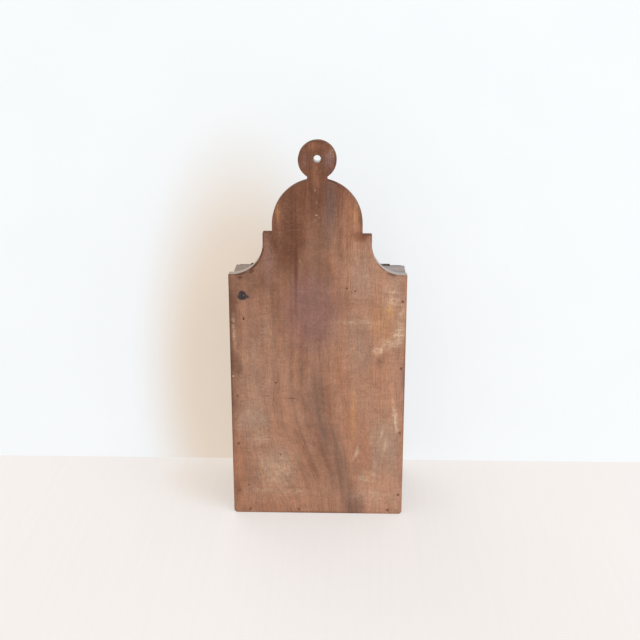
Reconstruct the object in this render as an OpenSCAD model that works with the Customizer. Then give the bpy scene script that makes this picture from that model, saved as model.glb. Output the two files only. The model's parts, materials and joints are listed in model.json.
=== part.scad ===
// Wall-hung flour box: a tall back board with an arched crest and a round hanging ear,
// a dovetailed case nailed to it, a fixed hinge rail and a sloping lid on two butt hinges.
// Millimetres. +Z is up, the front faces -Y, and the origin is the middle of the footprint.
// Left and right are as seen from the front, so left is -X.

/* [Back board] */
// Width of the back board
board_w = 200; // [180:1:230]
// Thickness of the back board
board_t = 12; // [9:0.5:16]
// Height of the flat shoulders
shoulder_h = 296; // [250:1:340]
// Radius of the hollow cut in the left shoulder
left_cove_r = 34.5; // [24:0.5:38]
// Radius of the hollow cut in the right shoulder
right_cove_r = 36; // [24:0.5:38]
// Height of the left square step above the shoulders
left_step_h = 45.3; // [40:0.1:54]
// Height of the right square step above the shoulders
right_step_h = 47.5; // [40:0.1:54]
// Width of the ledge on each square step
step_w = 10.5; // [5:0.5:14]
// Radius of the arched crest
arch_r = 50; // [40:0.5:54]
// Height of the arch's centre above the shoulders
arch_h = 57.3; // [54:0.1:70]
// Sideways offset of the hand-sawn crest from the middle of the board
crest_shift = 0.4; // [-2:0.1:2]
// Width of the neck below the ear
neck_w = 22; // [14:0.5:30]
// Radius of the hanging ear
ear_r = 21; // [15:0.5:28]
// Diameter of the hanging hole
hole_d = 8; // [5:0.5:12]
// Height of the hole's centre above the ear's centre
hole_rise = 1.6; // [0:0.1:4]

/* [Case] */
// Overhang of the back board past the left side
left_reveal = 0.3; // [0:0.1:4]
// Overhang of the back board past the right side
right_reveal = 2.9; // [0:0.1:4]
// Depth from the back board to the outside of the front
case_depth = 122; // [100:1:160]
// Thickness of the sides
side_t = 8.5; // [7:0.5:12]
// Thickness of the front
front_t = 10; // [8:0.5:14]
// Thickness of the bottom
bottom_t = 10; // [8:0.5:14]

/* [Dovetails] */
// Number of tails at each front corner
tail_count = 5; // [3:1:7]
// Height of a pin at the root of the tails
pin_w = 14; // [10:0.5:18]
// Run of the tails' flanks for a rise of one
tail_run = 6; // [5:0.5:8]

/* [Rail and lid] */
// Drop of the rail's top below the shoulders
rail_drop = 6; // [0:0.5:10]
// Depth of the rail, front to back
rail_depth = 54.5; // [30:0.5:60]
// Thickness of the rail
rail_t = 11; // [10.5:0.5:14]
// Slope of the lid below the horizontal, in degrees
lid_slope = 24; // [18:1:30]
// Thickness of the lid
lid_t = 10; // [9:0.5:13]
// Overhang of the lid past the front
lid_lip = 7; // [4:0.5:12]
// Overhang of the lid past each side
lid_side_lip = 0.8; // [0.2:0.1:3]
// Hairline gap between the closed lid and the edges below it
lid_clear = 0.2; // [0.1:0.05:0.5]
// Gap between the rail and the lid along the hinges
joint_gap = 1; // [0.8:0.1:1.6]
// Bevel on the two edges that meet along the hinges
joint_bevel = 2.4; // [2.2:0.1:2.8]
// Radius of the rounded moulding on the lid's free edges
mould_r = 4.5; // [2:0.5:6]
// Height of the small square step above that moulding
mould_step = 1.2; // [0.6:0.1:2]

/* [Hinges] */
// Length of each hinge
hinge_len = 40; // [30:1:50]
// Distance from the outside of the case to the end of a hinge
hinge_inset = 17; // [12:0.5:30]
// Height of a leaf below the hinge pin's axis
leaf_h = 8.4; // [8:0.1:9]
// Thickness of a leaf
leaf_t = 1.4; // [1.2:0.1:1.8]
// Number of knuckles in each hinge
knuckle_count = 5; // [3:2:7]
// Outer radius of the knuckles
knuckle_r = 2.1; // [1.9:0.05:2.3]
// Depth of the pin's axis below the rail's top
axis_drop = 0.9; // [0.7:0.05:1]
// Radius of the hinge pin
pin_r = 1; // [0.8:0.05:1.2]
// Radial clearance of the pin in the rail leaf's knuckles
pin_fit = 0.03; // [0.01:0.01:0.05]
// Radial running clearance of the pin in the lid leaf's knuckles
run_fit = 0.06; // [0.03:0.01:0.1]
// Gap between neighbouring knuckles
knuckle_gap = 0.3; // [0.2:0.05:0.6]
// Room around the knuckles
knuckle_room = 0.4; // [0.3:0.05:0.8]

/* [Screws] */
// Number of screws in each leaf
screw_count = 3; // [2:1:3]
// Length of a screw
screw_len = 9; // [7:0.5:10]
// Radius of a screw's shank
screw_r = 1.1; // [0.9:0.05:1.3]
// Radius of a screw's countersunk head
screw_head_r = 2.1; // [1.8:0.05:2.3]
// Width and depth of a screw's slot
screw_slot = 0.5; // [0.3:0.05:0.6]
// Radial clearance around a screw
screw_fit = 0.05; // [0.02:0.01:0.1]

/* [Nails] */
// Width of a cut nail's square shank
nail_w = 1.8; // [1.4:0.1:2.4]
// Width of a nail's head
nail_head_w = 2.6; // [2.5:0.1:3.4]
// Thickness of a nail's head
nail_head_t = 0.9; // [0.6:0.1:1.4]
// Length of the nails through the back board
back_nail_len = 30; // [24:1:36]
// Length of the nails through the sides and the front
brad_len = 24; // [20:1:30]
// Length of the nails through the rail
rail_nail_len = 28; // [22:1:36]
// Height of the lowest nail in the left column
left_nail_low = 25.6; // [20:0.2:40]
// Pitch of the nails in the left column
left_nail_pitch = 80; // [60:1:84]
// Height of the lowest nail in the right column
right_nail_low = 29.5; // [20:0.2:40]
// Pitch of the lower nails in the right column
right_nail_pitch = 60.5; // [50:0.5:70]
// Number of lower nails in the right column
right_nail_count = 3; // [2:1:3]
// Drop of the right column's top nail below the shoulders
top_nail_drop = 33; // [30:1:40]
// Distance from the outside of the case to the end nails in the bottom's rear edge
end_nail_inset = 16.5; // [14:0.5:30]
// Offset of the middle nail from the case's centre line
mid_nail_offset = 24; // [-40:1:40]
// Free wood between nails that cross
nail_space = 8; // [5:1:14]

/* [Hidden] */
$fn = 96;

// Overlap that lets a cut pass its face or a tail run into its board
lap = 1;

// Planes of the case, from the rear face of the back board forwards
total_depth = board_t + case_depth + lid_lip;
rear_y = total_depth / 2;
board_y = rear_y - board_t;
rail_y = board_y - rail_depth;
axis_y = rail_y - joint_gap / 2;
lid_y = rail_y - joint_gap;
front_y = board_y - case_depth;
front_in_y = front_y + front_t;
case_l = left_reveal - board_w / 2;
case_r = board_w / 2 - right_reveal;
case_w = case_r - case_l;

// Heights of the rail, the hinge axis and the edges below the lid
rail_top = shoulder_h - rail_drop;
rail_seat = rail_top - rail_t;
axis_z = rail_top - axis_drop;
function lid_top_z(y) = rail_top - (lid_y - y) * tan(lid_slope);
function edge_z(y) = lid_top_z(y) - (lid_t + lid_clear) / cos(lid_slope);

// Crest of the back board
step_x = arch_r + step_w;
arch_z = shoulder_h + arch_h;
ear_z = arch_z + arch_r + ear_r;

// Lid, measured along its slope from the top of its rear face
lid_l = case_l - lid_side_lip;
lid_w = case_w + 2 * lid_side_lip;
lid_reach = lid_y - front_y + lid_lip;
lid_len = (lid_reach - mould_r + (mould_step + mould_r) * sin(lid_slope)) / cos(lid_slope) + mould_r;

// Dovetails
tail_pitch = edge_z(front_y) / tail_count;
tail_root = (tail_pitch - pin_w) / 2;
tail_end = tail_root + front_t / tail_run;

// Hinges
left_hinge_x = case_l + hinge_inset;
right_hinge_x = case_r - hinge_inset - hinge_len;
knuckle_len = hinge_len / knuckle_count;
plate_drop = knuckle_r + knuckle_room;
screw_z = axis_z - (plate_drop + leaf_h) / 2;
screw_head_h = screw_head_r - screw_r;

// Nails
left_nail_x = case_l + side_t / 2;
right_nail_x = case_r - side_t / 2;
back_reach = back_nail_len - board_t;
front_reach = brad_len - front_t;
left_column_top = rail_seat - nail_space;
left_nail_z = [for (z = [left_nail_low : left_nail_pitch : left_column_top]) z];
right_nail_z = concat(
    [for (i = [0 : right_nail_count - 1]) right_nail_low + i * right_nail_pitch],
    [shoulder_h - top_nail_drop]
);
case_mid = (case_l + case_r) / 2;
bottom_nail_x = [case_l + end_nail_inset, case_mid + mid_nail_offset, case_r - end_nail_inset];
cross_nail_y = [board_y - back_reach - nail_space, front_in_y + front_reach + nail_space];
rail_nail_y = [board_y - back_reach - nail_space, rail_y + nail_space];
mid_z = bottom_t / 2;

back_wood = "#8f6046";
case_wood = "#7c4d35";
lid_wood = "#744630";
brass = "#8a7340";
iron = "#3b3532";

// Extrudes a profile drawn in Y and Z along X, from x0 over a width
module along_x(x0, width) {
    translate([x0, 0, 0])
        rotate([90, 0, 90])
            linear_extrude(width)
                children();
}

// One half of the back board's outline below the arch, for x on the side of s
module shoulder_outline(s, cove_r, step_h) {
    cove_x = step_x + cove_r;
    mirror([s < 0 ? 1 : 0, 0]) {
        translate([-lap, 0])
            square([lap + board_w / 2, shoulder_h]);
        translate([s * crest_shift, 0])
            difference() {
                translate([-s * crest_shift - lap, 0])
                    square([s * crest_shift + lap + cove_x, shoulder_h + cove_r]);
                translate([cove_x, shoulder_h + cove_r])
                    circle(cove_r);
                translate([board_w / 2 - s * crest_shift, 0])
                    square([cove_x, shoulder_h + cove_r + lap]);
            }
        translate([-lap, 0])
            square([lap + step_x + s * crest_shift, shoulder_h + step_h]);
    }
}

// Outline of the back board in X and Z
module board_outline() {
    difference() {
        union() {
            shoulder_outline(-1, left_cove_r, left_step_h);
            shoulder_outline(1, right_cove_r, right_step_h);
            translate([crest_shift - arch_r, shoulder_h])
                square([2 * arch_r, arch_h]);
            translate([crest_shift, arch_z])
                circle(arch_r);
            translate([crest_shift - neck_w / 2, arch_z])
                square([neck_w, ear_z - arch_z]);
            translate([crest_shift, ear_z])
                circle(ear_r);
        }
        translate([crest_shift, ear_z + hole_rise])
            circle(hole_d / 2);
    }
}

// Tails at a front corner, in Y and Z
module tails() {
    for (i = [0 : tail_count - 1])
        translate([0, (i + 0.5) * tail_pitch])
            polygon([
                [front_in_y + lap, -tail_root], [front_in_y + lap, tail_root],
                [front_in_y, tail_root], [front_y, tail_end],
                [front_y, -tail_end], [front_in_y, -tail_root]
            ]);
}

// Outline of a side without its tails, in Y and Z
module side_outline() {
    polygon([
        [board_y, 0], [board_y, rail_seat], [rail_y, rail_seat], [rail_y, edge_z(rail_y)],
        [front_in_y, edge_z(front_in_y)], [front_in_y, 0]
    ]);
}

// Section of the front, in Y and Z
module front_outline() {
    polygon([
        [front_in_y, 0], [front_in_y, edge_z(front_in_y)],
        [front_y, edge_z(front_y)], [front_y, 0]
    ]);
}

// Section of the lid in its own slope, without the moulding
module lid_outline() {
    polygon([
        [-joint_bevel, 0], [-lid_len, 0], [-lid_len, -lid_t], [-lid_t * tan(lid_slope), -lid_t],
        [-joint_bevel * sin(lid_slope), -joint_bevel * cos(lid_slope)]
    ]);
}

// What the moulding plane takes off an edge whose corner is at the origin
module mould_cut() {
    difference() {
        translate([-mould_r, -mould_step - mould_r])
            square([mould_r + lap, mould_step + mould_r + lap]);
        translate([-mould_r, -mould_step - mould_r])
            circle(mould_r);
    }
}

// Moulded lid board in its place, before the hinges are let in
module lid_blank() {
    translate([0, lid_y, rail_top])
        rotate([lid_slope, 0, 0])
            difference() {
                along_x(lid_l, lid_w)
                    lid_outline();
                along_x(lid_l - lap, lid_w + 2 * lap)
                    translate([-lid_len, 0])
                        mirror([1, 0])
                            mould_cut();
                for (end = [0, 1])
                    translate([lid_l + end * lid_w, lap, 0])
                        rotate([90, 0, 0])
                            linear_extrude(lid_len + 2 * lap)
                                mirror([1 - end, 0])
                                    mould_cut();
            }
}

// Cut nail pointing down from its head; a cut for it passes its face
module nail(len, proud = 0) {
    translate([-nail_w / 2, -nail_w / 2, -len])
        cube([nail_w, nail_w, len]);
    translate([-nail_head_w / 2, -nail_head_w / 2, -nail_head_t])
        cube([nail_head_w, nail_head_w, nail_head_t + proud]);
}

// Nails through the back board, with their heads on its rear face
module nails_in_back(points, proud = 0) {
    for (p = points)
        translate([p[0], rear_y, p[1]])
            rotate([-90, 0, 0])
                nail(back_nail_len, proud);
}

module left_back_nails(proud = 0) {
    nails_in_back([for (z = left_nail_z) [left_nail_x, z]], proud);
}

module right_back_nails(proud = 0) {
    nails_in_back([for (z = right_nail_z) [right_nail_x, z]], proud);
}

module bottom_back_nails(proud = 0) {
    nails_in_back([for (x = bottom_nail_x) [x, mid_z]], proud);
}

// Nails down through the rail into the top of a side
module nails_in_rail(x, proud = 0) {
    for (y = rail_nail_y)
        translate([x, y, rail_top])
            nail(rail_nail_len, proud);
}

// Nails through a side into the end of the bottom
module nails_in_left(proud = 0) {
    for (y = cross_nail_y)
        translate([case_l, y, mid_z])
            rotate([0, -90, 0])
                nail(brad_len, proud);
}

module nails_in_right(proud = 0) {
    for (y = cross_nail_y)
        translate([case_r, y, mid_z])
            rotate([0, 90, 0])
                nail(brad_len, proud);
}

// Nails through the front into the front edge of the bottom
module nails_in_front(proud = 0) {
    for (x = bottom_nail_x)
        translate([x, front_y, mid_z])
            rotate([90, 0, 0])
                nail(brad_len, proud);
}

// Countersunk screw pointing down from its head; a hole for it has a clearance
module screw(fit = 0, proud = 0) {
    translate([0, 0, -screw_len - fit])
        cylinder(r = screw_r + fit, h = screw_len + fit);
    translate([0, 0, -screw_head_h])
        cylinder(r1 = screw_r + fit, r2 = screw_head_r + fit, h = screw_head_h);
    if (proud > 0)
        cylinder(r = screw_head_r + fit, h = proud);
}

module slotted_screw() {
    difference() {
        screw();
        translate([-screw_head_r, -screw_slot / 2, -screw_slot])
            cube([2 * screw_head_r, screw_slot, screw_slot + lap]);
    }
}

// Sets its child at each screw of the hinge that starts at x0, on the face at y
module at_screws(x0, y, turn) {
    for (i = [0 : screw_count - 1])
        translate([x0 + hinge_len * (i + 0.5) / screw_count, y, screw_z])
            rotate([turn, 0, 0])
                children();
}

// Round bar on the hinge axis
module axis_bar(x0, len, r) {
    translate([x0, axis_y, axis_z])
        rotate([0, 90, 0])
            cylinder(r = r, h = len);
}

// Hinge leaf with its back at y_low and every second knuckle from the first
module leaf(x0, y_low, first, bore_fit) {
    difference() {
        union() {
            translate([x0, y_low, axis_z - leaf_h])
                cube([hinge_len, leaf_t, leaf_h - plate_drop]);
            for (k = [first : 2 : knuckle_count - 1]) {
                knuckle_x = x0 + k * knuckle_len + knuckle_gap / 2;
                translate([knuckle_x, y_low, axis_z - leaf_h])
                    cube([knuckle_len - knuckle_gap, leaf_t, leaf_h]);
                axis_bar(knuckle_x, knuckle_len - knuckle_gap, knuckle_r);
            }
        }
        axis_bar(x0 - lap, hinge_len + 2 * lap, pin_r + bore_fit);
    }
}

module rail_leaf(x0) {
    difference() {
        leaf(x0, rail_y, 0, pin_fit);
        at_screws(x0, rail_y, 90)
            screw(screw_fit, lap);
    }
}

module lid_leaf(x0) {
    difference() {
        leaf(x0, lid_y - leaf_t, 1, run_fit);
        at_screws(x0, lid_y, -90)
            screw(screw_fit, lap);
    }
}

// Room for the hinge's knuckles and a leaf in the wood behind it
module hinge_bed(x0, y_low) {
    axis_bar(x0 - knuckle_room, hinge_len + 2 * knuckle_room, knuckle_r + knuckle_room);
    translate([x0, y_low, axis_z - leaf_h])
        cube([hinge_len, leaf_t, leaf_h]);
}

module back_board() {
    color(back_wood)
        difference() {
            translate([0, rear_y, 0])
                rotate([90, 0, 0])
                    linear_extrude(board_t)
                        board_outline();
            left_back_nails(lap);
            right_back_nails(lap);
            bottom_back_nails(lap);
        }
}

module left_side() {
    color(case_wood)
        difference() {
            along_x(case_l, side_t) {
                side_outline();
                tails();
            }
            left_back_nails();
            nails_in_rail(left_nail_x);
            nails_in_left(lap);
        }
}

module right_side() {
    color(case_wood)
        difference() {
            along_x(case_r - side_t, side_t) {
                side_outline();
                tails();
            }
            right_back_nails();
            nails_in_rail(right_nail_x);
            nails_in_right(lap);
        }
}

module front_board() {
    color(case_wood)
        difference() {
            along_x(case_l, case_w)
                front_outline();
            along_x(case_l - lap, side_t + lap)
                tails();
            along_x(case_r - side_t, side_t + lap)
                tails();
            nails_in_front(lap);
        }
}

module bottom_board() {
    color(case_wood)
        difference() {
            translate([case_l + side_t, front_in_y, 0])
                cube([case_w - 2 * side_t, board_y - front_in_y, bottom_t]);
            bottom_back_nails();
            nails_in_left();
            nails_in_right();
            nails_in_front();
        }
}

module hinge_rail() {
    color(case_wood)
        difference() {
            along_x(case_l, case_w)
                polygon([
                    [board_y, rail_seat], [board_y, rail_top], [rail_y + joint_bevel, rail_top],
                    [rail_y, rail_top - joint_bevel], [rail_y, rail_seat]
                ]);
            for (x0 = [left_hinge_x, right_hinge_x]) {
                hinge_bed(x0, rail_y);
                at_screws(x0, rail_y, 90)
                    screw(screw_fit);
            }
            nails_in_rail(left_nail_x, lap);
            nails_in_rail(right_nail_x, lap);
        }
}

module lid_board() {
    color(lid_wood)
        difference() {
            lid_blank();
            for (x0 = [left_hinge_x, right_hinge_x]) {
                hinge_bed(x0, lid_y - leaf_t);
                at_screws(x0, lid_y, -90)
                    screw(screw_fit);
            }
        }
}

module left_rail_leaf() {
    color(brass)
        rail_leaf(left_hinge_x);
}

module right_rail_leaf() {
    color(brass)
        rail_leaf(right_hinge_x);
}

module left_lid_leaf() {
    color(brass)
        lid_leaf(left_hinge_x);
}

module right_lid_leaf() {
    color(brass)
        lid_leaf(right_hinge_x);
}

module left_hinge_pin() {
    color(brass)
        axis_bar(left_hinge_x, hinge_len, pin_r);
}

module right_hinge_pin() {
    color(brass)
        axis_bar(right_hinge_x, hinge_len, pin_r);
}

module left_rail_screws() {
    color(brass)
        at_screws(left_hinge_x, rail_y, 90)
            slotted_screw();
}

module right_rail_screws() {
    color(brass)
        at_screws(right_hinge_x, rail_y, 90)
            slotted_screw();
}

module left_lid_screws() {
    color(brass)
        at_screws(left_hinge_x, lid_y, -90)
            slotted_screw();
}

module right_lid_screws() {
    color(brass)
        at_screws(right_hinge_x, lid_y, -90)
            slotted_screw();
}

module back_nails_left() {
    color(iron)
        left_back_nails();
}

module back_nails_right() {
    color(iron)
        right_back_nails();
}

module back_nails_bottom() {
    color(iron)
        bottom_back_nails();
}

module rail_nails() {
    color(iron) {
        nails_in_rail(left_nail_x);
        nails_in_rail(right_nail_x);
    }
}

module left_bottom_nails() {
    color(iron)
        nails_in_left();
}

module right_bottom_nails() {
    color(iron)
        nails_in_right();
}

module front_bottom_nails() {
    color(iron)
        nails_in_front();
}

back_board();
left_side();
right_side();
front_board();
bottom_board();
hinge_rail();
lid_board();
left_rail_leaf();
right_rail_leaf();
left_lid_leaf();
right_lid_leaf();
left_hinge_pin();
right_hinge_pin();
left_rail_screws();
right_rail_screws();
left_lid_screws();
right_lid_screws();
back_nails_left();
back_nails_right();
back_nails_bottom();
rail_nails();
left_bottom_nails();
right_bottom_nails();
front_bottom_nails();
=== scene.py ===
"""Looks of a wall-hung flour box: aged mahogany boards, dovetails, a moulded lid and brass butt hinges.

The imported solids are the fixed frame. The boards are modelled again in the same places, with worn arrises and
sunk nails, and the hinges, screws and nails keep their solids with softened edges. Sizes are in millimetres,
those of the studio in metres.
"""
import json
import logging
import math
from collections.abc import Callable, Iterable, Iterator
from contextlib import contextmanager
from dataclasses import dataclass, replace
from enum import Enum
from functools import partial, reduce

import bpy
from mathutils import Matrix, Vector


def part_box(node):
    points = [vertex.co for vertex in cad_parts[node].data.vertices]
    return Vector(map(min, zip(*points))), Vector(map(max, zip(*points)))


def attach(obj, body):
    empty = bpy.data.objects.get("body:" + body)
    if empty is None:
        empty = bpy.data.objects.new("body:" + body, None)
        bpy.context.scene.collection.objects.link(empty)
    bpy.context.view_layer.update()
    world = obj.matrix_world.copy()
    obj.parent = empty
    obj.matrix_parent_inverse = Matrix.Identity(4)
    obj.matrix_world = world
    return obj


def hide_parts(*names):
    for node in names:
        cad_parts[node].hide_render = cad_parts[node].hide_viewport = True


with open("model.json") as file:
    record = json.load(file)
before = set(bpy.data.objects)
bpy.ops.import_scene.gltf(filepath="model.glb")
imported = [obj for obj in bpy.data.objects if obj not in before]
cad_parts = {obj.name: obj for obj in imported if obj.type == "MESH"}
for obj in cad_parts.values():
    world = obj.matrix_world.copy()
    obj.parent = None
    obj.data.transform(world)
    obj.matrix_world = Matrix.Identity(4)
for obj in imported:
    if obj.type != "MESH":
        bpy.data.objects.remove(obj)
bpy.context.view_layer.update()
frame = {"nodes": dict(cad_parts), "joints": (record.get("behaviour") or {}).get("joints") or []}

MM = 0.001
# How far a cutter passes the face that it cuts
LAP = 1.0
# Coordinates nearer than this are taken as the same, and points nearer than the weld are made one
NEAR = 0.01
WELD = 0.002
# Angles above which an arris counts as sharp, for wear and for shading, and below which faces are one plane
SHARP_DEG, SHADE_DEG, FLAT_DEG = 30.0, 40.0, 0.2
# Least part of a normal along an axis for a face that looks that way
FACING = 0.9
# Reach of a mark through the thickness of its board, so far that only its X and Z count
THROUGH = 1e4
# Values between which noise mostly lies
NOISE_LOW, NOISE_HIGH = 0.3, 0.7
WAX_ROUGHNESS = 0.22
# Turns that lay an upright rod along X and along Y
ALONG_X, ALONG_Y = (0.0, math.pi / 2, 0.0), (math.pi / 2, 0.0, 0.0)
# Sockets of a Mix node that mixes colours
FACTOR, UNDER, OVER, MIXED = 0, 6, 7, 2
# Sockets of a Map Range node that maps a vector
VALUE, LOW_AT, HIGH_AT, LOW, HIGH, MAPPED = 6, 7, 8, 9, 10, 1
LOG = logging.getLogger("flour_box")

Point = tuple[float, float, float]
Piece = bpy.types.Object
Socket = bpy.types.NodeSocket
Adder = Callable[..., Socket]
Test = Callable[[Vector, Vector], bool]


class Grain(Enum):
    """Way in which a board's grain runs, as the turn that brings it upright."""

    ACROSS = (0.0, -math.pi / 2, 0.0)
    DEEP = (math.pi / 2, 0.0, 0.0)
    UPRIGHT = (0.0, 0.0, 0.0)


class Cut(Enum):
    """What one shape does to another."""

    ADD = "UNION"
    TAKE = "DIFFERENCE"


class Part(Enum):
    """Parts of a mesh that can be picked, in the order of Blender's select modes."""

    POINTS = "VERT"
    EDGES = "EDGE"
    FACES = "FACE"


class Hand(Enum):
    """Sides of the box seen from the front, as the way that the outer face looks."""

    LEFT = -1.0
    RIGHT = 1.0


class Tone(Enum):
    """Paints of the marks of age and of a few painted shades and a painted glint, from the broad ones to the
    small ones.
    """

    FADED = "#b98c72"
    SHADED = "#7e5a47"
    HANDLED = "#643b28"
    WARM = "#a87458"
    ROSE = "#8c6760"
    SMOKE = "#76605a"
    FIGURE = "#765c50"
    OCHRE = "#c8945c"
    BLEACHED = "#cdaf94"
    DUSTY = "#aa8c77"
    GRIME = "#503426"
    RUST = "#432a20"
    IRON = "#262731"
    FLAKE = "#e0cdb4"


def hex_linear(text: str) -> tuple[float, float, float, float]:
    """Turn an sRGB hex colour into linear colour.

    Args:
        text: colour such as "#b98c73".

    Returns:
        Linear red, green, blue and an alpha of one.
    """
    parts = [int(text[i:i + 2], 16) / 255 for i in (1, 3, 5)]
    linear = [p / 12.92 if p <= 0.04045 else ((p + 0.055) / 1.055) ** 2.4 for p in parts]
    return (linear[0], linear[1], linear[2], 1.0)


def add_node(
    tree: bpy.types.NodeTree, kind: str, feeds: dict | None = None, out: int | str = 0, **settings
) -> Socket | None:
    """Add a shader node with its settings, and feed its inputs.

    Args:
        tree: node tree that gets the node.
        kind: Blender's name of the node type, without "ShaderNode".
        feeds: socket or constant for each input, by the input's name or number.
        out: name or number of the output that is wanted.
        settings: properties of the node.

    Returns:
        The wanted output, or None from a node without outputs.
    """
    node = tree.nodes.new("ShaderNode" + kind)
    for name, value in settings.items():
        setattr(node, name, value)
    for key, value in (feeds or {}).items():
        if isinstance(value, Socket):
            tree.links.new(value, node.inputs[key])
        else:
            node.inputs[key].default_value = value
    return node.outputs[out] if node.outputs else None


def box_mm(node: str) -> tuple[Vector, Vector]:
    """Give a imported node's lowest and highest corner in millimetres."""
    low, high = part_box(node)
    return low / MM, high / MM


def at(**place: float) -> Test:
    """Make a test that picks the edges whose two ends lie at given coordinates.

    Args:
        place: wanted x, y or z in millimetres.

    Returns:
        The test.
    """
    def there(a: Vector, b: Vector) -> bool:
        """Tell whether both ends of an edge lie there."""
        return all(abs(getattr(end, axis) - place[axis]) < NEAR for end in (a, b) for axis in place)

    return there


def activate(piece: Piece | None) -> None:
    """Make one piece the only selected one.

    Args:
        piece: the piece, or None to select nothing.
    """
    bpy.ops.object.select_all(action="DESELECT")
    bpy.context.view_layer.objects.active = piece
    if piece:
        piece.select_set(True)


@contextmanager
def editing(piece: Piece, part: Part = Part.POINTS, test: Test | None = None) -> Iterator[None]:
    """Edit a piece with some of its faces or edges selected, or with all of it selected.

    Args:
        piece: piece to edit.
        part: whether points, edges or faces are edited.
        test: for a face, takes its middle in millimetres and its normal; for an edge, takes its two ends.

    Yields:
        Nothing, in edit mode.
    """
    activate(piece)
    mesh = piece.data
    for group in (mesh.vertices, mesh.edges, mesh.polygons):
        group.foreach_set("select", [False] * len(group))
    if part is Part.EDGES:
        for edge in mesh.edges:
            edge.select = test(*(mesh.vertices[i].co / MM for i in edge.vertices))
    elif part is Part.FACES:
        for face in mesh.polygons:
            face.select = test(face.center / MM, face.normal)
    bpy.context.tool_settings.mesh_select_mode = [part is choice for choice in Part]
    bpy.ops.object.mode_set(mode="EDIT")
    if test is None:
        bpy.ops.mesh.select_all(action="SELECT")
    yield
    bpy.ops.object.mode_set(mode="OBJECT")


def settle(name: str) -> Piece:
    """Name the new primitive and put its place into its mesh.

    Args:
        name: name of the piece and of its mesh.

    Returns:
        The piece.
    """
    piece = bpy.context.object
    piece.name = name
    piece.data.name = name
    bpy.ops.object.transform_apply(location=True, rotation=True, scale=True)
    return piece


def add_block(name: str, low: Iterable[float], high: Iterable[float]) -> Piece:
    """Add a block between two corners.

    Args:
        name: name of the block.
        low: lowest corner in millimetres.
        high: highest corner in millimetres.

    Returns:
        The block.
    """
    a, b = Vector(low) * MM, Vector(high) * MM
    activate(None)
    bpy.ops.mesh.primitive_cube_add(size=1, location=(a + b) / 2, scale=b - a)
    return settle(name)


def add_rod(
    name: str, middle: Iterable[float], radius: float, length: float, turn: Point, sides: int
) -> Piece:
    """Add a round rod.

    Args:
        name: name of the rod.
        middle: its middle in millimetres.
        radius: its radius in millimetres.
        length: its length in millimetres.
        turn: Euler angles that turn it from upright.
        sides: number of facets round it.

    Returns:
        The rod.
    """
    activate(None)
    bpy.ops.mesh.primitive_cylinder_add(
        vertices=sides, radius=radius * MM, depth=length * MM, location=Vector(middle) * MM, rotation=turn
    )
    return settle(name)


def shape_with(piece: Piece, other: Piece, cut: Cut) -> None:
    """Add another shape to a piece or take it away, and remove the other.

    Args:
        piece: piece that stays.
        other: shape that is used up.
        cut: what the shape does to the piece.
    """
    modifier = piece.modifiers.new(cut.name, "BOOLEAN")
    modifier.operation = cut.value
    modifier.object = other
    modifier.solver = "EXACT"
    activate(piece)
    bpy.ops.object.modifier_apply(modifier=modifier.name)
    bpy.data.objects.remove(other)


def round_edges(piece: Piece, test: Test, width: float, steps: int) -> None:
    """Round the edges that a test picks.

    Args:
        piece: piece to edit.
        test: takes an edge's two ends in millimetres.
        width: width of the rounding in millimetres.
        steps: facets of the rounding, one for a flat bevel.
    """
    with editing(piece, Part.EDGES, test):
        bpy.ops.mesh.bevel(offset=width * MM, segments=steps, profile=0.5, affect="EDGES")


def tidy(piece: Piece) -> None:
    """Merge doubles, join faces that lie in one plane and turn all faces outwards.

    Args:
        piece: piece to edit.
    """
    with editing(piece):
        bpy.ops.mesh.remove_doubles(threshold=WELD * MM)
        bpy.ops.mesh.dissolve_limited(angle_limit=math.radians(FLAT_DEG))
        bpy.ops.mesh.normals_make_consistent(inside=False)


def wear_edges(piece: Piece, width: float, steps: int) -> None:
    """Round every sharp arris of a piece, as handling does.

    Args:
        piece: piece to edit.
        width: width of the wear in millimetres.
        steps: facets of the rounding.
    """
    tidy(piece)
    with editing(piece, Part.EDGES, lambda *ends: False):
        bpy.ops.mesh.edges_select_sharp(sharpness=math.radians(SHARP_DEG))
        bpy.ops.mesh.bevel(offset=width * MM, segments=steps, profile=0.5, affect="EDGES", clamp_overlap=True)


def slice_piece(piece: Piece, point: Point, normal: Point, drop: bool) -> None:
    """Saw a piece along a plane.

    Args:
        piece: piece to saw.
        point: a point of the plane in millimetres.
        normal: the plane's normal.
        drop: whether what lies on the normal's side falls off.
    """
    with editing(piece):
        bpy.ops.mesh.bisect(plane_co=Vector(point) * MM, plane_no=normal, use_fill=drop, clear_outer=drop)


def install(piece: Piece, node: str, body: str) -> None:
    """Smooth a finished piece, let it stand for its node and move it with its body.

    Args:
        piece: finished piece.
        node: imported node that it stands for.
        body: body that it rides on.
    """
    activate(piece)
    bpy.ops.object.shade_smooth_by_angle(angle=math.radians(SHADE_DEG))
    modifier = piece.modifiers.new("flat_faces", "WEIGHTED_NORMAL")
    modifier.keep_sharp = True
    bpy.ops.object.modifier_apply(modifier=modifier.name)
    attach(piece, body)
    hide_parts(node)
    LOG.info("%s: %d faces, for %s on %s", piece.name, len(piece.data.polygons), node, body)


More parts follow.
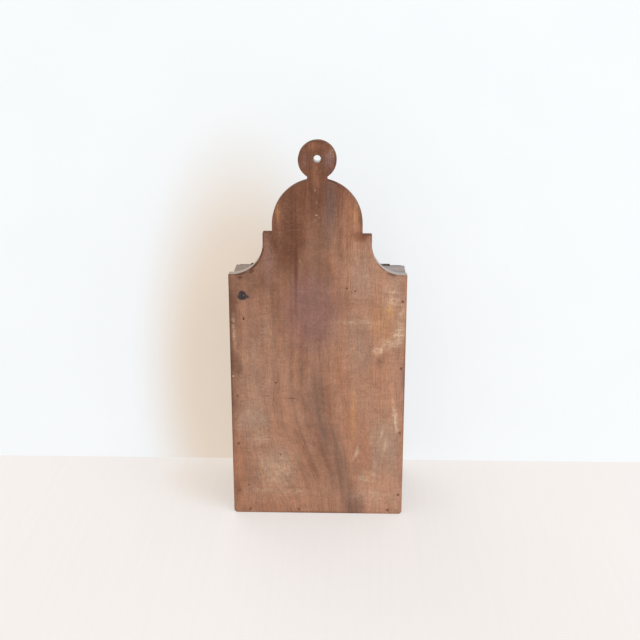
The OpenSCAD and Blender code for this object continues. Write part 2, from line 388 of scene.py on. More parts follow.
class Finish:
    """A finish, whose material is made once and shared by the pieces that wear it."""

    name: str

    def surface(self, add: Adder) -> Socket:
        """Lay the finish's nodes and give its shader."""
        raise NotImplementedError

    def material(self) -> bpy.types.Material:
        """Give the finish's material, made when it is first asked for.

        Returns:
            The material.
        """
        material = bpy.data.materials.get(self.name)
        if material is None:
            material = bpy.data.materials.new(self.name)
            material.use_nodes = True
            material.node_tree.nodes.clear()
            add = partial(add_node, material.node_tree)
            add("OutputMaterial", {"Surface": self.surface(add)})
        return material

    def paint(self, piece: Piece, test: Test | None = None) -> None:
        """Lay the finish on a piece, or only on the faces that a test picks.

        Args:
            piece: piece to paint.
            test: takes a face's middle in millimetres and its normal; all faces without it.
        """
        piece.data.materials.append(self.material())
        for face in piece.data.polygons:
            if test is None or test(face.center / MM, face.normal):
                face.material_index = len(piece.data.materials) - 1


@dataclass(frozen=True)
class Mark:
    """One mark, an ellipse with a soft edge placed by its X and Z; most are marks of age, a few are painted
    shade and a painted glint.
    """

    name: str
    tone: Tone
    x: float
    z: float
    half_x: float
    half_z: float
    strength: float = 0.6
    turn_deg: float = 0.0
    edge: float = 1.0


# Marks of age on the rear face, with some painted shade and a painted glint, seen from behind with +X to the
# left
REAR_MARKS = (
    Mark("field faded by light", Tone.FADED, -72, 150, 72, 230, 0.62, 0, 0.6),
    Mark("faded lower right corner", Tone.FADED, -76, 26, 46, 54, 0.95, 0, 0.6),
    Mark("faded right shoulder", Tone.FADED, -58, 296, 44, 58, 0.6, 0, 0.6),
    Mark("faded foot", Tone.FADED, 10, 18, 130, 50, 0.5, 0, 0.6),
    Mark("faded field on the left", Tone.FADED, 50, 120, 60, 130, 0.35, 0, 0.6),
    Mark("dull left edge", Tone.SHADED, 102, 190, 16, 210, 0.65),
    Mark("dull left shoulder", Tone.SHADED, 66, 302, 46, 48, 0.6, 0, 0.6),
    Mark("dull middle", Tone.SHADED, 12, 300, 44, 85, 0.6, 0, 0.6),
    Mark("crest darkened by hands", Tone.HANDLED, 8, 420, 80, 98, 0.78, 0, 0.55),
    Mark("dark left half of the arch", Tone.HANDLED, 34, 350, 28, 66, 0.78, 0, 0.55),
    Mark("dark streak in the heart", Tone.HANDLED, 24, 325, 3.2, 120, 0.9, 0, 0.6),
    Mark("dark side of the streak", Tone.HANDLED, 28, 352, 4, 52, 0.9, 0, 0.7),
    Mark("streak below the crest", Tone.HANDLED, 14, 285, 2.6, 60, 0.35),
    Mark("dark upper left edge", Tone.HANDLED, 97, 262, 8, 44, 0.6),
    # Painted shade in the corners under the steps, beside the arch
    Mark("dark right step", Tone.HANDLED, -48, 340, 14, 9, 0.75, 0, 0.8),
    Mark("dark left step", Tone.HANDLED, 52, 340, 12, 9, 0.6, 0, 0.8),
    Mark("dark right edge of the arch", Tone.HANDLED, -46, 360, 6, 26, 0.4),
    Mark("warm right half of the arch", Tone.WARM, -35, 362, 20, 46, 0.35, 0, 0.7),
    Mark("warm neck", Tone.WARM, 1, 410, 7, 36, 0.4),
    Mark("warm top of the ear", Tone.WARM, 2, 440, 12, 7, 0.4),
    Mark("warm streak on the arch", Tone.WARM, 11, 366, 4, 50, 0.3),
    Mark("warm left rim of the arch", Tone.WARM, 42, 362, 6, 34, 0.25),
    Mark("warm field right of the heart", Tone.WARM, -30, 185, 17, 70, 0.4, 0, 0.7),
    Mark("warm field right of the figure", Tone.WARM, -46, 100, 18, 80, 0.5, 14, 0.7),
    Mark("warm lower left edge", Tone.WARM, 93, 50, 14, 70, 0.55),
    Mark("warm foot on the left", Tone.WARM, 70, 8, 44, 14, 0.45),
    Mark("rosy bloom", Tone.ROSE, 8, 252, 42, 66, 0.72, 0, 0.7),
    Mark("rosy bloom below the left cove", Tone.ROSE, 55, 310, 12, 38, 0.5),
    Mark("rosy bloom on the ear", Tone.ROSE, -13, 423, 8, 18, 0.6),
    Mark("rosy bloom left on the ear", Tone.ROSE, 13, 424, 6, 14, 0.4),
    Mark("rosy bloom on the right edge", Tone.ROSE, -98, 176, 6, 26, 0.6),
    Mark("blue bloom on the arch", Tone.SMOKE, -13, 366, 12, 60, 0.6),
    Mark("blue bloom on the ear", Tone.SMOKE, -12, 424, 8, 16, 0.4),
    Mark("blue bloom in the figure", Tone.SMOKE, -4, 118, 8, 46, 0.45, 12),
    Mark("head of the dark figure", Tone.FIGURE, 1, 150, 15, 60, 0.55, 5, 0.9),
    Mark("middle of the dark figure", Tone.FIGURE, -10, 98, 17, 60, 0.52, 16, 0.9),
    Mark("lower part of the dark figure", Tone.FIGURE, -27, 52, 17, 54, 0.52, 18, 0.9),
    Mark("foot of the dark figure", Tone.FIGURE, -42, 12, 20, 30, 0.62, 8, 0.8),
    Mark("clear edge of the dark figure", Tone.FIGURE, -24, 82, 5, 66, 0.5, 17, 0.8),
    Mark("grey field on the right", Tone.FIGURE, -52, 206, 16, 46, 0.35),
    Mark("worn corner on the left", Tone.SHADED, 94, 191, 9, 20, 0.9, 8, 0.45),
    Mark("ochre patch", Tone.OCHRE, -81, 255, 9, 13, 0.55, 0, 0.9),
    Mark("ochre haze on the right", Tone.OCHRE, -74, 242, 26, 40, 0.25),
    Mark("ochre streak", Tone.OCHRE, -41, 128, 5, 50, 0.45),
    Mark("ochre fleck left on the arch", Tone.OCHRE, 44, 368, 4, 16, 0.3),
    Mark("ochre fleck right on the arch", Tone.OCHRE, -42, 366, 5, 18, 0.3),
    Mark("ochre fleck under the hole", Tone.OCHRE, 1, 416, 2.2, 3.2, 0.5),
    Mark("dust on the left", Tone.DUSTY, 74, 160, 30, 120, 0.4),
    Mark("dust on the rim of the ear", Tone.DUSTY, -16, 432, 5, 12, 0.35),
    Mark("dust on the lower left", Tone.DUSTY, 52, 60, 40, 54, 0.5),
    Mark("dust on the right", Tone.DUSTY, -78, 88, 26, 60, 0.6, 0, 0.7),
    Mark("dust on the right shoulder", Tone.DUSTY, -50, 295, 24, 50, 0.5),
    Mark("dust right of the heart", Tone.DUSTY, -45, 215, 26, 60, 0.45),
    Mark("dust left of the heart", Tone.DUSTY, 58, 225, 26, 50, 0.3),
    Mark("rubbed start of the hook", Tone.BLEACHED, -68, 207, 9, 7, 0.9, 0, 0.8),
    Mark("rubbed hook", Tone.BLEACHED, -80, 214, 15, 12, 0.65, 20, 0.9),
    Mark("rubbed patch by the right edge", Tone.BLEACHED, -91, 226, 9, 22, 0.9, -10, 0.8),
    Mark("rubbed right edge", Tone.BLEACHED, -93, 250, 7, 24, 0.5, -5),
    Mark("rubbed left edge", Tone.BLEACHED, 95, 228, 4, 36, 0.5, 3),
    Mark("rubbed line", Tone.BLEACHED, -44, 241, 38, 4.5, 0.45),
    Mark("rubbed right shoulder", Tone.BLEACHED, -84, 272, 18, 28, 0.5),
    Mark("rubbed rim of the right cove", Tone.BLEACHED, -88, 290, 12, 9, 0.5),
    Mark("rubbed streak by the right edge", Tone.BLEACHED, -90, 124, 4.6, 36, 0.6, 8, 0.8),
    Mark("rubbed heart of that streak", Tone.FLAKE, -90.5, 118, 2, 16, 0.35, 8, 0.8),
    Mark("rubbed spot", Tone.FLAKE, -75, 104, 3.2, 11, 0.36, -12),
    Mark("tail of the rubbed spot", Tone.FLAKE, -78.5, 88, 3, 20, 0.25, -6),
    Mark("rubbed field below it", Tone.BLEACHED, -74, 94, 15, 34, 0.4),
    Mark("rubbed triangle", Tone.FLAKE, -45, 79, 4.2, 13, 0.34, -18),
    Mark("rubbed streak low on the right", Tone.BLEACHED, -66, 56, 5, 22, 0.5),
    Mark("rubbed ground of the filled hole", Tone.BLEACHED, -57, 46, 12, 16, 0.4),
    Mark("scraped patch", Tone.BLEACHED, 48, 58, 32, 34, 0.65),
    Mark("scraped streak", Tone.BLEACHED, 62, 56, 5, 24, 0.75, 20),
    Mark("scraped band", Tone.BLEACHED, 74, 122, 24, 28, 0.3),
    Mark("dust in the scraped band", Tone.DUSTY, 74, 122, 30, 34, 0.8),
    Mark("scraped band below it", Tone.BLEACHED, 68, 97, 22, 14, 0.4),
    Mark("scraped foot", Tone.BLEACHED, -66, 24, 36, 14, 0.4),
    Mark("scraped line above the foot", Tone.BLEACHED, 44, 29, 58, 7, 0.42, -3),
    Mark("dull spot under the rubbed hook", Tone.GRIME, -71, 193, 8, 9, 0.35),
    Mark("grime along the foot", Tone.GRIME, 0, 0, 110, 4.5, 0.5),
    Mark("grime on the left edge", Tone.GRIME, 101, 200, 6, 200, 0.7),
    Mark("grime on the right edge", Tone.GRIME, -101, 170, 4.5, 130, 0.6),
    Mark("grime below the left cove", Tone.GRIME, 86, 301, 14, 9, 0.5),
    # Dark lines along the rims of the coves and the edge of the left step: partly grime, partly painted shade
    # below the lit rims
    Mark("dark rim of the left cove", Tone.GRIME, 85, 297.2, 10, 2.4, 0.7, 19, 0.6),
    Mark("dark rim higher in the left cove", Tone.GRIME, 71.3, 305.3, 11, 2.2, 0.85, 44, 0.6),
    Mark("dark rim at the head of the left cove", Tone.GRIME, 62, 320, 1.8, 12, 0.8, -20, 0.6),
    Mark("dark edge of the left step", Tone.GRIME, 60.3, 335, 1.5, 12, 0.7),
    Mark("crust under the left cove", Tone.GRIME, 87, 292.5, 5, 2.8, 0.7, 0, 0.7),
    Mark("crust beside it", Tone.GRIME, 74, 300, 5, 3.6, 0.7, 40, 0.7),
    Mark("dark rim of the right cove", Tone.GRIME, -82, 297.2, 9, 2.0, 0.5, -21, 0.6),
    Mark("dark rim higher in the right cove", Tone.GRIME, -70.7, 305.6, 9, 1.5, 0.5, -45, 0.7),
    Mark("grime on the lower left corner", Tone.GRIME, 95, 30, 8, 26, 0.4),
    Mark("dark gouge", Tone.RUST, 83.7, 244.1, 1.5, 2.8, 0.9, 0, 0.6),
    Mark("dark knock", Tone.RUST, 81.9, 36.8, 2, 2.2, 0.5, 0, 0.7),
    Mark("short scratch", Tone.RUST, 58.1, 150.6, 4.2, 0.8, 0.6, 0, 0.7),
    Mark("long scratch", Tone.RUST, 29.8, 147.5, 7.5, 0.7, 0.7, -4, 0.7),
    Mark("body of the iron stain", Tone.IRON, 84.5, 270.2, 7.2, 5.6, 1.0, 0, 0.45),
    Mark("top of the iron stain", Tone.IRON, 84.6, 272.6, 5.6, 5.6, 1.0, 0, 0.45),
    Mark("tail of the iron stain", Tone.IRON, 79.6, 270.0, 3.6, 2.8, 0.9, 0, 0.5),
    Mark("pale flake on the arch", Tone.FLAKE, 1.1, 363.8, 1.2, 1.0, 0.6, 0, 0.7),
    Mark("pale flake above it", Tone.FLAKE, 2.7, 391.5, 1.5, 2.6, 0.22, 0, 0.9),
    Mark("pale fleck between them", Tone.FLAKE, 1.0, 378, 1.2, 2.4, 0.16, 0, 0.9),
    Mark("pale fleck below them", Tone.FLAKE, 2.6, 358, 1.3, 2.4, 0.16, 0, 0.9),
    Mark("pale fleck to the right", Tone.FLAKE, -2.2, 361, 1.8, 1.2, 0.18, 0, 0.9),
    Mark("pale fleck by the streak", Tone.FLAKE, 19.5, 312, 1.6, 4.0, 0.15, 20, 0.9),
    Mark("pale flake on the left edge", Tone.FLAKE, 97.0, 174.5, 1.2, 1.2, 0.8, 0, 0.7),
    # A painted glint on the dark iron stain
    Mark("pale flake in the iron stain", Tone.FLAKE, 82.6, 271.2, 1.6, 1.4, 0.12, 0, 0.7),
    Mark("pale rim of a filled hole", Tone.FLAKE, -52.2, 46.9, 2.6, 2.8, 0.6, 0, 0.7),
)

# Marks of use on the front, and darker bands under the lip, seen from the front with +X to the right
FRONT_MARKS = (
    Mark("rubbed belly", Tone.WARM, 10, 130, 80, 64, 0.4, 0, 0.7),
    Mark("faded lower left", Tone.WARM, -45, 55, 60, 50, 0.35, 0, 0.7),
    Mark("darkened under the lip", Tone.HANDLED, 5, 240, 60, 40, 0.6, 0, 0.8),
    Mark("dirt waxed into the left corner", Tone.HANDLED, -99, 120, 12, 160, 0.5),
    Mark("dirt waxed into the right corner", Tone.HANDLED, 97, 140, 12, 160, 0.5),
    Mark("dull bloom of damp", Tone.ROSE, -48, 188, 26, 30, 0.3, 0, 0.7),
    Mark("scuffed foot", Tone.DUSTY, -20, 3, 120, 10, 0.5),
    Mark("scuffed left foot", Tone.BLEACHED, -88, 8, 16, 13, 0.35),
    Mark("scuffed right foot", Tone.BLEACHED, 82, 6, 20, 10, 0.35),
    # Darker under the lip of the lid
    Mark("grime under the lip", Tone.GRIME, 0, 253, 130, 13, 0.6, 0, 0.8),
    Mark("knock low on the left", Tone.RUST, -61, 72, 2.6, 1.5, 0.6, 25, 0.7),
    Mark("knock by the right corner", Tone.RUST, 79, 168, 1.6, 3.0, 0.6, 0, 0.7),
    Mark("long pale scratch", Tone.FLAKE, 34, 96, 17, 0.7, 0.3, 12, 0.8),
    Mark("short pale scratch", Tone.FLAKE, -22, 171, 9, 0.6, 0.3, -18, 0.8),
)
# Marks of use on the lid; Z runs up its slope, so they are drawn low and broad
LID_MARKS = (
    Mark("dull left half", Tone.SHADED, -46, 272, 52, 13, 0.35, 0, 0.7),
    Mark("lip darkened by hands", Tone.HANDLED, 4, 252, 70, 9, 0.6, 0, 0.8),
    Mark("rubbed right half", Tone.WARM, 44, 270, 60, 17, 0.25),
    Mark("rubbed edge of the lip", Tone.WARM, 2, 250, 46, 3.4, 0.5, 0, 0.8),
    Mark("dust along the hinges", Tone.DUSTY, 0, 288, 120, 4.0, 0.4),
    Mark("knock on the lid", Tone.RUST, 38, 262, 1.9, 1.0, 0.6, 0, 0.7),
    Mark("pale scratch on the left", Tone.FLAKE, -28, 268, 16, 0.4, 0.22, 5, 0.8),
    Mark("pale scratch on the right", Tone.FLAKE, 22, 279, 11, 0.35, 0.22, -4, 0.8),
)


@dataclass(frozen=True)
class Mahogany(Finish):
    """Old mahogany: bands and fibres along the grain, short dark pores, dark end grain and worn arrises."""

    name: str
    grain: Grain
    light: str
    mid: str
    dark: str
    arris: str
    arris_share: float
    roughness: float
    coat: float
    relief: float
    start: Point = (0.0, 0.0, 0.0)
    pore: str = "#4a2c20"
    end_tint: str = "#8f7a70"
    end_blend: str = "MULTIPLY"
    # Real sizes: growth bands 9 mm wide, fibres and pores drawn about 1 mm wide so that they show
    band_mm: float = 9.0
    band_run: float = 26.0
    band_stops: Point = (0.32, 0.5, 0.7)
    fibre_mm: float = 1.1
    fibre_run: float = 30.0
    fibre_by: float = 0.14
    speck_mm: float = 1.4
    speck_run: float = 1.5
    speck_by: float = 0.05
    pore_mm: float = 0.7
    pore_run: float = 9.0
    pore_share: float = 0.4
    pore_deep: float = 1.2
    mottle_mm: float = 15.0
    mottle_run: float = 1.8
    mottle_by: float = 0.07
    figure_mm: float = 14.0
    figure_run: float = 0.45
    figure_by: float = 0.06
    # The grain drifts to and fro over a hand's breadth, and the colour with it
    drift_mm: float = 70.0
    drift_by: float = 9.0
    patina_by: float = 0.0
    # How far the grain leans to the side between two heights, and the X at which the lean dies out
    lean_mm: float = 0.0
    lean_head: float = 165.0
    lean_foot: float = -15.0
    lean_ends: tuple[float, float] = (95.0, -64.0)
    # Streaks of warmer and cooler wood, and grain that stands out more on a handled crest between two heights
    tint_mm: float = 4.5
    tint_run: float = 18.0
    tint_by: float = 0.0
    crest_by: float = 0.0
    crest_foot: float = 300.0
    crest_head: float = 370.0
    # Marks wander off their outline, dust lies in curved scuffs, rubbing is chalky and a plane left marks
    marks: tuple[Mark, ...] = ()
    ragged_mm: float = 16.0
    wander_mm: float = 9.0
    wander_share: float = 0.55
    scuff_mm: float = 1.5
    scuff_run: float = 11.0
    scuff_curl: float = 14.0
    chalk_mm: float = 5.0
    tool_by: float = 0.075
    # Fine scratches at these angles, drawn half a millimetre wide, in patches as wide as a hand
    scratch_mm: float = 0.6
    scratch_run: float = 24.0
    scratch_deg: tuple[float, ...] = (28.0, 80.0, 132.0)
    scratch_share: float = 0.1
    scratch_patch_mm: float = 45.0
    arris_mm: float = 1.8
    shine: float = 0.5
    gloss_by: tuple[float, float] = (0.07, -0.05)
    relief_mm: float = 0.25

    def surface(self, add: Adder) -> Socket:
        """Lay the wood's nodes.

        Args:
            add: adds a node to the material.

        Returns:
            The wood's shader.
        """
        place = add("TexCoord", out="Object")
        flat = add("Mapping", {"Vector": place, "Scale": (1 / MM,) * 3})
        upright = add("Mapping", {"Vector": flat, "Rotation": self.grain.value, "Location": self.start})
        drift = add("TexNoise", {"Vector": upright, "Scale": 1 / self.drift_mm, "Detail": 2.0}).node.outputs
        swing = (self.drift_by, self.drift_by, 0.0)
        path = add("VectorMath", {0: drift["Color"], 1: swing, 2: upright}, operation="MULTIPLY_ADD")
        spot = add("SeparateXYZ", {"Vector": upright}).node.outputs
        if self.lean_mm:
            path = self.lean(add, path, spot)
        bands = self.streaks(add, path, self.band_mm, self.band_run, 4.0)
        fibres = self.streaks(add, path, self.fibre_mm, self.fibre_run, 2.0)
        colour = add("ValToRGB", {"Fac": bands})
        stops = colour.node.color_ramp.elements
        stops.new(0.5)
        for stop, position, tint in zip(stops, self.band_stops, (self.dark, self.mid, self.light)):
            stop.position = position
            stop.color = hex_linear(tint)
        if self.marks:
            colour = self.add_marks(add, flat, fibres, colour)
        shades = [
            (fibres, self.fibre_by, 0.0, 1.0),
            (self.streaks(add, path, self.figure_mm, self.figure_run, 2.0), self.figure_by, 0.0, 1.0),
            (self.streaks(add, path, self.mottle_mm, self.mottle_run, 6.0), self.mottle_by, 0.0, 1.0),
            (self.streaks(add, flat, self.speck_mm, self.speck_run, 3.0), self.speck_by, 0.0, 1.0),
        ]
        if self.patina_by:
            shades.append((drift["Fac"], self.patina_by, 0.0, 1.0))
        if self.tint_by:
            shades.append((self.streaks(add, path, self.tint_mm, self.tint_run, 3.0), 0.0, self.tint_by, 1.0))
        if self.crest_by:
            feeds = {"Value": spot["Z"], "From Min": self.crest_foot, "From Max": self.crest_head}
            shades.append((fibres, self.crest_by, 0.0, add("MapRange", feeds)))
        for streak, light, warm, share in shades:
            by = Vector((light + warm, light, light - warm))
            shade = add("MapRange", {
                VALUE: streak, LOW_AT: (NOISE_LOW,) * 3, HIGH_AT: (NOISE_HIGH,) * 3,
                LOW: Vector((1, 1, 1)) - by, HIGH: Vector((1, 1, 1)) + by
            }, MAPPED, data_type="FLOAT_VECTOR")
            mix = {FACTOR: share, UNDER: colour, OVER: shade}
            colour = add("Mix", mix, MIXED, data_type="RGBA", blend_type="MULTIPLY")
        pores = self.streaks(add, path, self.pore_mm, self.pore_run, 0.0)
        feeds = {"Value": pores, "From Min": 0.60, "From Max": 0.72, "To Max": self.pore_share}
        pits = add("MapRange", feeds)
        for mask, tint, blend in (
            (pits, self.pore, "MIX"),
            (self.end_grain(add), self.end_tint, self.end_blend),
            (self.worn_arrises(add, fibres), self.arris, "MIX"),
        ):
            mix = {FACTOR: mask, UNDER: colour, OVER: hex_linear(tint)}
            colour = add("Mix", mix, MIXED, data_type="RGBA", blend_type=blend)
        dull, bright = (self.roughness + by for by in self.gloss_by)
        gloss = add("MapRange", {
            "Value": bands, "From Min": NOISE_LOW, "From Max": NOISE_HIGH, "To Min": dull, "To Max": bright
        })
        height = add("Math", {0: pits, 1: -self.pore_deep, 2: fibres}, operation="MULTIPLY_ADD")
        bump = add("Bump", {"Height": height, "Strength": self.relief, "Distance": self.relief_mm * MM})
        return add("BsdfPrincipled", {
            "Base Color": colour, "Roughness": gloss, "Normal": bump, "Specular IOR Level": self.shine,
            "Coat Weight": self.coat, "Coat Roughness": WAX_ROUGHNESS
        })

    def streaks(self, add: Adder, path: Socket, width: float, run: float, detail: float) -> Socket:
        """Add noise that is drawn out along the grain.

        Args:
            add: adds a node to the material.
            path: point in millimetres, with the grain upright.
            width: width of a streak in millimetres.
            run: length of a streak in widths.
            detail: octaves of finer noise.

        Returns:
            A value from zero to one.
        """
        scale = (1 / width, 1 / width, 1 / (width * run))
        drawn = add("VectorMath", {0: path, 1: scale}, operation="MULTIPLY")
        return add("TexNoise", {"Vector": drawn, "Scale": 1.0, "Detail": detail, "Roughness": 0.55})

    def lean(self, add: Adder, path: Socket, spot: bpy.types.NodeOutputs) -> Socket:
        """Let the grain lean to the side towards the foot.

        Args:
            add: adds a node to the material.
            path: point in millimetres, with the grain upright.
            spot: the point's coordinates.

        Returns:
            The path that leans.
        """
        lean = self.lean_mm
        left, right = self.lean_ends
        for value, none, full in (
            (spot["Z"], self.lean_head, self.lean_foot), (spot["X"], left, 0.0), (spot["X"], right, 0.0)
        ):
            feeds = {"Value": value, "From Min": none, "From Max": full, "To Max": lean}
            lean = add("MapRange", feeds, interpolation_type="SMOOTHSTEP")
        return add("VectorMath", {0: path, 1: add("CombineXYZ", {"X": lean})}, operation="ADD")

    def end_grain(self, add: Adder) -> Socket:
        """Mask the faces that cut across the grain.

        Args:
            add: adds a node to the material.

        Returns:
            One on end grain and zero along the grain.
        """
        normal = add("TexCoord", out="Normal")
        turned = add("Mapping", {"Vector": normal, "Rotation": self.grain.value}, vector_type="VECTOR")
        along = add("Math", {0: add("SeparateXYZ", {"Vector": turned}, "Z")}, operation="ABSOLUTE")
        return add("MapRange", {"Value": along, "From Min": 0.5, "From Max": 0.95})

    def worn_arrises(self, add: Adder, fibres: Socket) -> Socket:
        """Mask the arrises, where a rounded normal leaves the true one.

        Args:
            add: adds a node to the material.
            fibres: fibre noise that breaks the wear up.

        Returns:
            Share of wear, zero away from the arrises.
        """
        rounded = add("Bevel", {"Radius": self.arris_mm * MM}, samples=6)
        true = add("NewGeometry", out="True Normal")
        match = add("VectorMath", {0: rounded, 1: true}, "Value", operation="DOT_PRODUCT")
        feeds = {"Value": match, "From Min": 0.995, "From Max": 0.86, "To Max": self.arris_share}
        worn = add("MapRange", feeds)
        patchy = add("MapRange", {"Value": fibres, "From Min": 0.25, "From Max": 0.6, "To Min": 0.35})
        return add("Math", {0: worn, 1: patchy}, operation="MULTIPLY")

    def add_marks(self, add: Adder, flat: Socket, fibres: Socket, colour: Socket) -> Socket:
        """Lay the marks of age, the painted shade and the painted glint over the wood, one tone after the
        other, and scratch it.

        Args:
            add: adds a node to the material.
            flat: point in millimetres.
            fibres: fibre noise that breaks the marks up.
            colour: colour of the bare wood.

        Returns:
            The marked colour.
        """
        ragged = add("TexNoise", {"Vector": flat, "Scale": 1 / self.ragged_mm, "Detail": 4.0}, "Color")
        loose = add("VectorMath", {0: ragged, 1: (-0.5,) * 3}, operation="ADD")
        curl = (self.scuff_curl,) * 3
        curved = add("VectorMath", {0: loose, 1: curl, 2: flat}, operation="MULTIPLY_ADD")
        across = add("Mapping", {"Vector": curved, "Rotation": ALONG_X})
        scuffs = self.streaks(add, across, self.scuff_mm, self.scuff_run, 3.0)
        # Fading and dirt follow the fibres, dust and tool marks the scuffs, and rubbing leaves chalky patches
        along, dusted, rubbed, tooled = (
            add("MapRange", {
                "Value": streak, "From Min": NOISE_LOW, "From Max": NOISE_HIGH, "To Min": low, "To Max": high
            })
            for streak, low, high in (
                (fibres, 0.8, 1.12), (scuffs, 0.3, 1.6), (scuffs, 0.6, 1.7),
                (scuffs, 1 - self.tool_by, 1 + self.tool_by),
            )
        )
        feeds = {"Vector": flat, "Scale": 1 / self.chalk_mm, "Detail": 6.0, "Roughness": 0.65}
        chalk = add("TexNoise", feeds)
        chalky = add("MapRange", {
            "Value": chalk, "From Min": 0.40, "From Max": 0.58, "To Min": 0.25, "To Max": rubbed
        })
        broken = {Tone.BLEACHED: chalky, Tone.DUSTY: dusted}
        for tone in Tone:
            masks = [self.mask(add, mark, flat, loose) for mark in self.marks if mark.tone is tone]
            if masks:
                whole = reduce(lambda one, two: add("Math", {0: one, 1: two}, operation="MAXIMUM"), masks)
                feeds = {0: whole, 1: broken.get(tone, along)}
                share = add("Math", feeds, operation="MULTIPLY", use_clamp=True)
                mix = {FACTOR: share, UNDER: colour, OVER: hex_linear(tone.value)}
                colour = add("Mix", mix, MIXED, data_type="RGBA")
        mix = {FACTOR: 1.0, UNDER: colour, OVER: tooled}
        colour = add("Mix", mix, MIXED, data_type="RGBA", blend_type="MULTIPLY")
        return self.add_scratches(add, flat, colour)

    def mask(self, add: Adder, mark: Mark, flat: Socket, loose: Socket) -> Socket:
        """Mask one mark.

        Args:
            add: adds a node to the material.
            mark: the mark.
            flat: point in millimetres.
            loose: noise that its outline wanders by.

        Returns:
            Share of the mark, zero outside it.
        """
        wander = min(self.wander_mm, self.wander_share * min(mark.half_x, mark.half_z))
        warped = add("VectorMath", {0: loose, 1: (wander, 0.0, wander), 2: flat}, operation="MULTIPLY_ADD")
        local = add("Mapping", {
            "Vector": warped, "Location": (mark.x, 0.0, mark.z), "Scale": (mark.half_x, THROUGH, mark.half_z),
            "Rotation": (0.0, math.radians(mark.turn_deg), 0.0)
        }, vector_type="TEXTURE", label=mark.name)
        ball = add("TexGradient", {"Vector": local}, "Fac", gradient_type="SPHERICAL")
        feeds = {"Value": ball, "From Max": mark.edge, "To Max": mark.strength}
        return add("MapRange", feeds, interpolation_type="SMOOTHSTEP")

    def add_scratches(self, add: Adder, flat: Socket, colour: Socket) -> Socket:
        """Scratch the surface in a few directions, more in some places than in others.

        Args:
            add: adds a node to the material.
            flat: point in millimetres.
            colour: colour of the wood.

        Returns:
            The scratched colour.
        """
        patches = add("TexNoise", {"Vector": flat, "Scale": 1 / self.scratch_patch_mm, "Detail": 2.0})
        often = add("MapRange", {
            "Value": patches, "From Min": 0.38, "From Max": 0.62, "To Max": self.scratch_share
        })
        for angle in self.scratch_deg:
            turned = add("Mapping", {"Vector": flat, "Rotation": (0.0, math.radians(angle), 0.0)})
            lines = self.streaks(add, turned, self.scratch_mm, self.scratch_run, 1.0)
            share = add("MapRange", {"Value": lines, "From Min": 0.62, "From Max": 0.74, "To Max": often})
            mix = {FACTOR: share, UNDER: colour, OVER: hex_linear(Tone.BLEACHED.value)}
            colour = add("Mix", mix, MIXED, data_type="RGBA")
        return colour


@dataclass(frozen=True)
class AgedMetal(Finish):
    """Old metal fittings: dull metal under patches of tarnish or rust, with fine pitting."""

    name: str
    bright: str
    tarnish: str
    tarnish_share: float
    roughness: float
    metallic: float
    # Patches of tarnish a few millimetres across and pits drawn half a millimetre wide
    patch_mm: float = 4.0
    pit_mm: float = 0.5
    pit_deep_mm: float = 0.1
    pit_relief: float = 0.35
    rough_by: tuple[float, float] = (-0.08, 0.15)
    coat: float = 0.0

    def surface(self, add: Adder) -> Socket:
        """Lay the metal's nodes.

        Args:
            add: adds a node to the material.

        Returns:
            The metal's shader.
        """
        place = add("TexCoord", out="Object")
        patches, pits = (
            add("TexNoise", {"Vector": place, "Scale": 1 / (size * MM), "Detail": detail})
            for size, detail in ((self.patch_mm, 4.0), (self.pit_mm, 2.0))
        )
        clean, dulled = (self.roughness + by for by in self.rough_by)
        dull, rough = (
            add("MapRange", {
                "Value": patches, "From Min": 0.35, "From Max": 0.65, "To Min": low, "To Max": high
            })
            for low, high in ((0.0, self.tarnish_share), (clean, dulled))
        )
        mix = {FACTOR: dull, UNDER: hex_linear(self.bright), OVER: hex_linear(self.tarnish)}
        colour = add("Mix", mix, MIXED, data_type="RGBA")
        bump = add("Bump", {"Height": pits, "Strength": self.pit_relief, "Distance": self.pit_deep_mm * MM})
        return add("BsdfPrincipled", {
            "Base Color": colour, "Roughness": rough, "Metallic": self.metallic, "Normal": bump,
            "Coat Weight": self.coat, "Coat Roughness": WAX_ROUGHNESS
        })


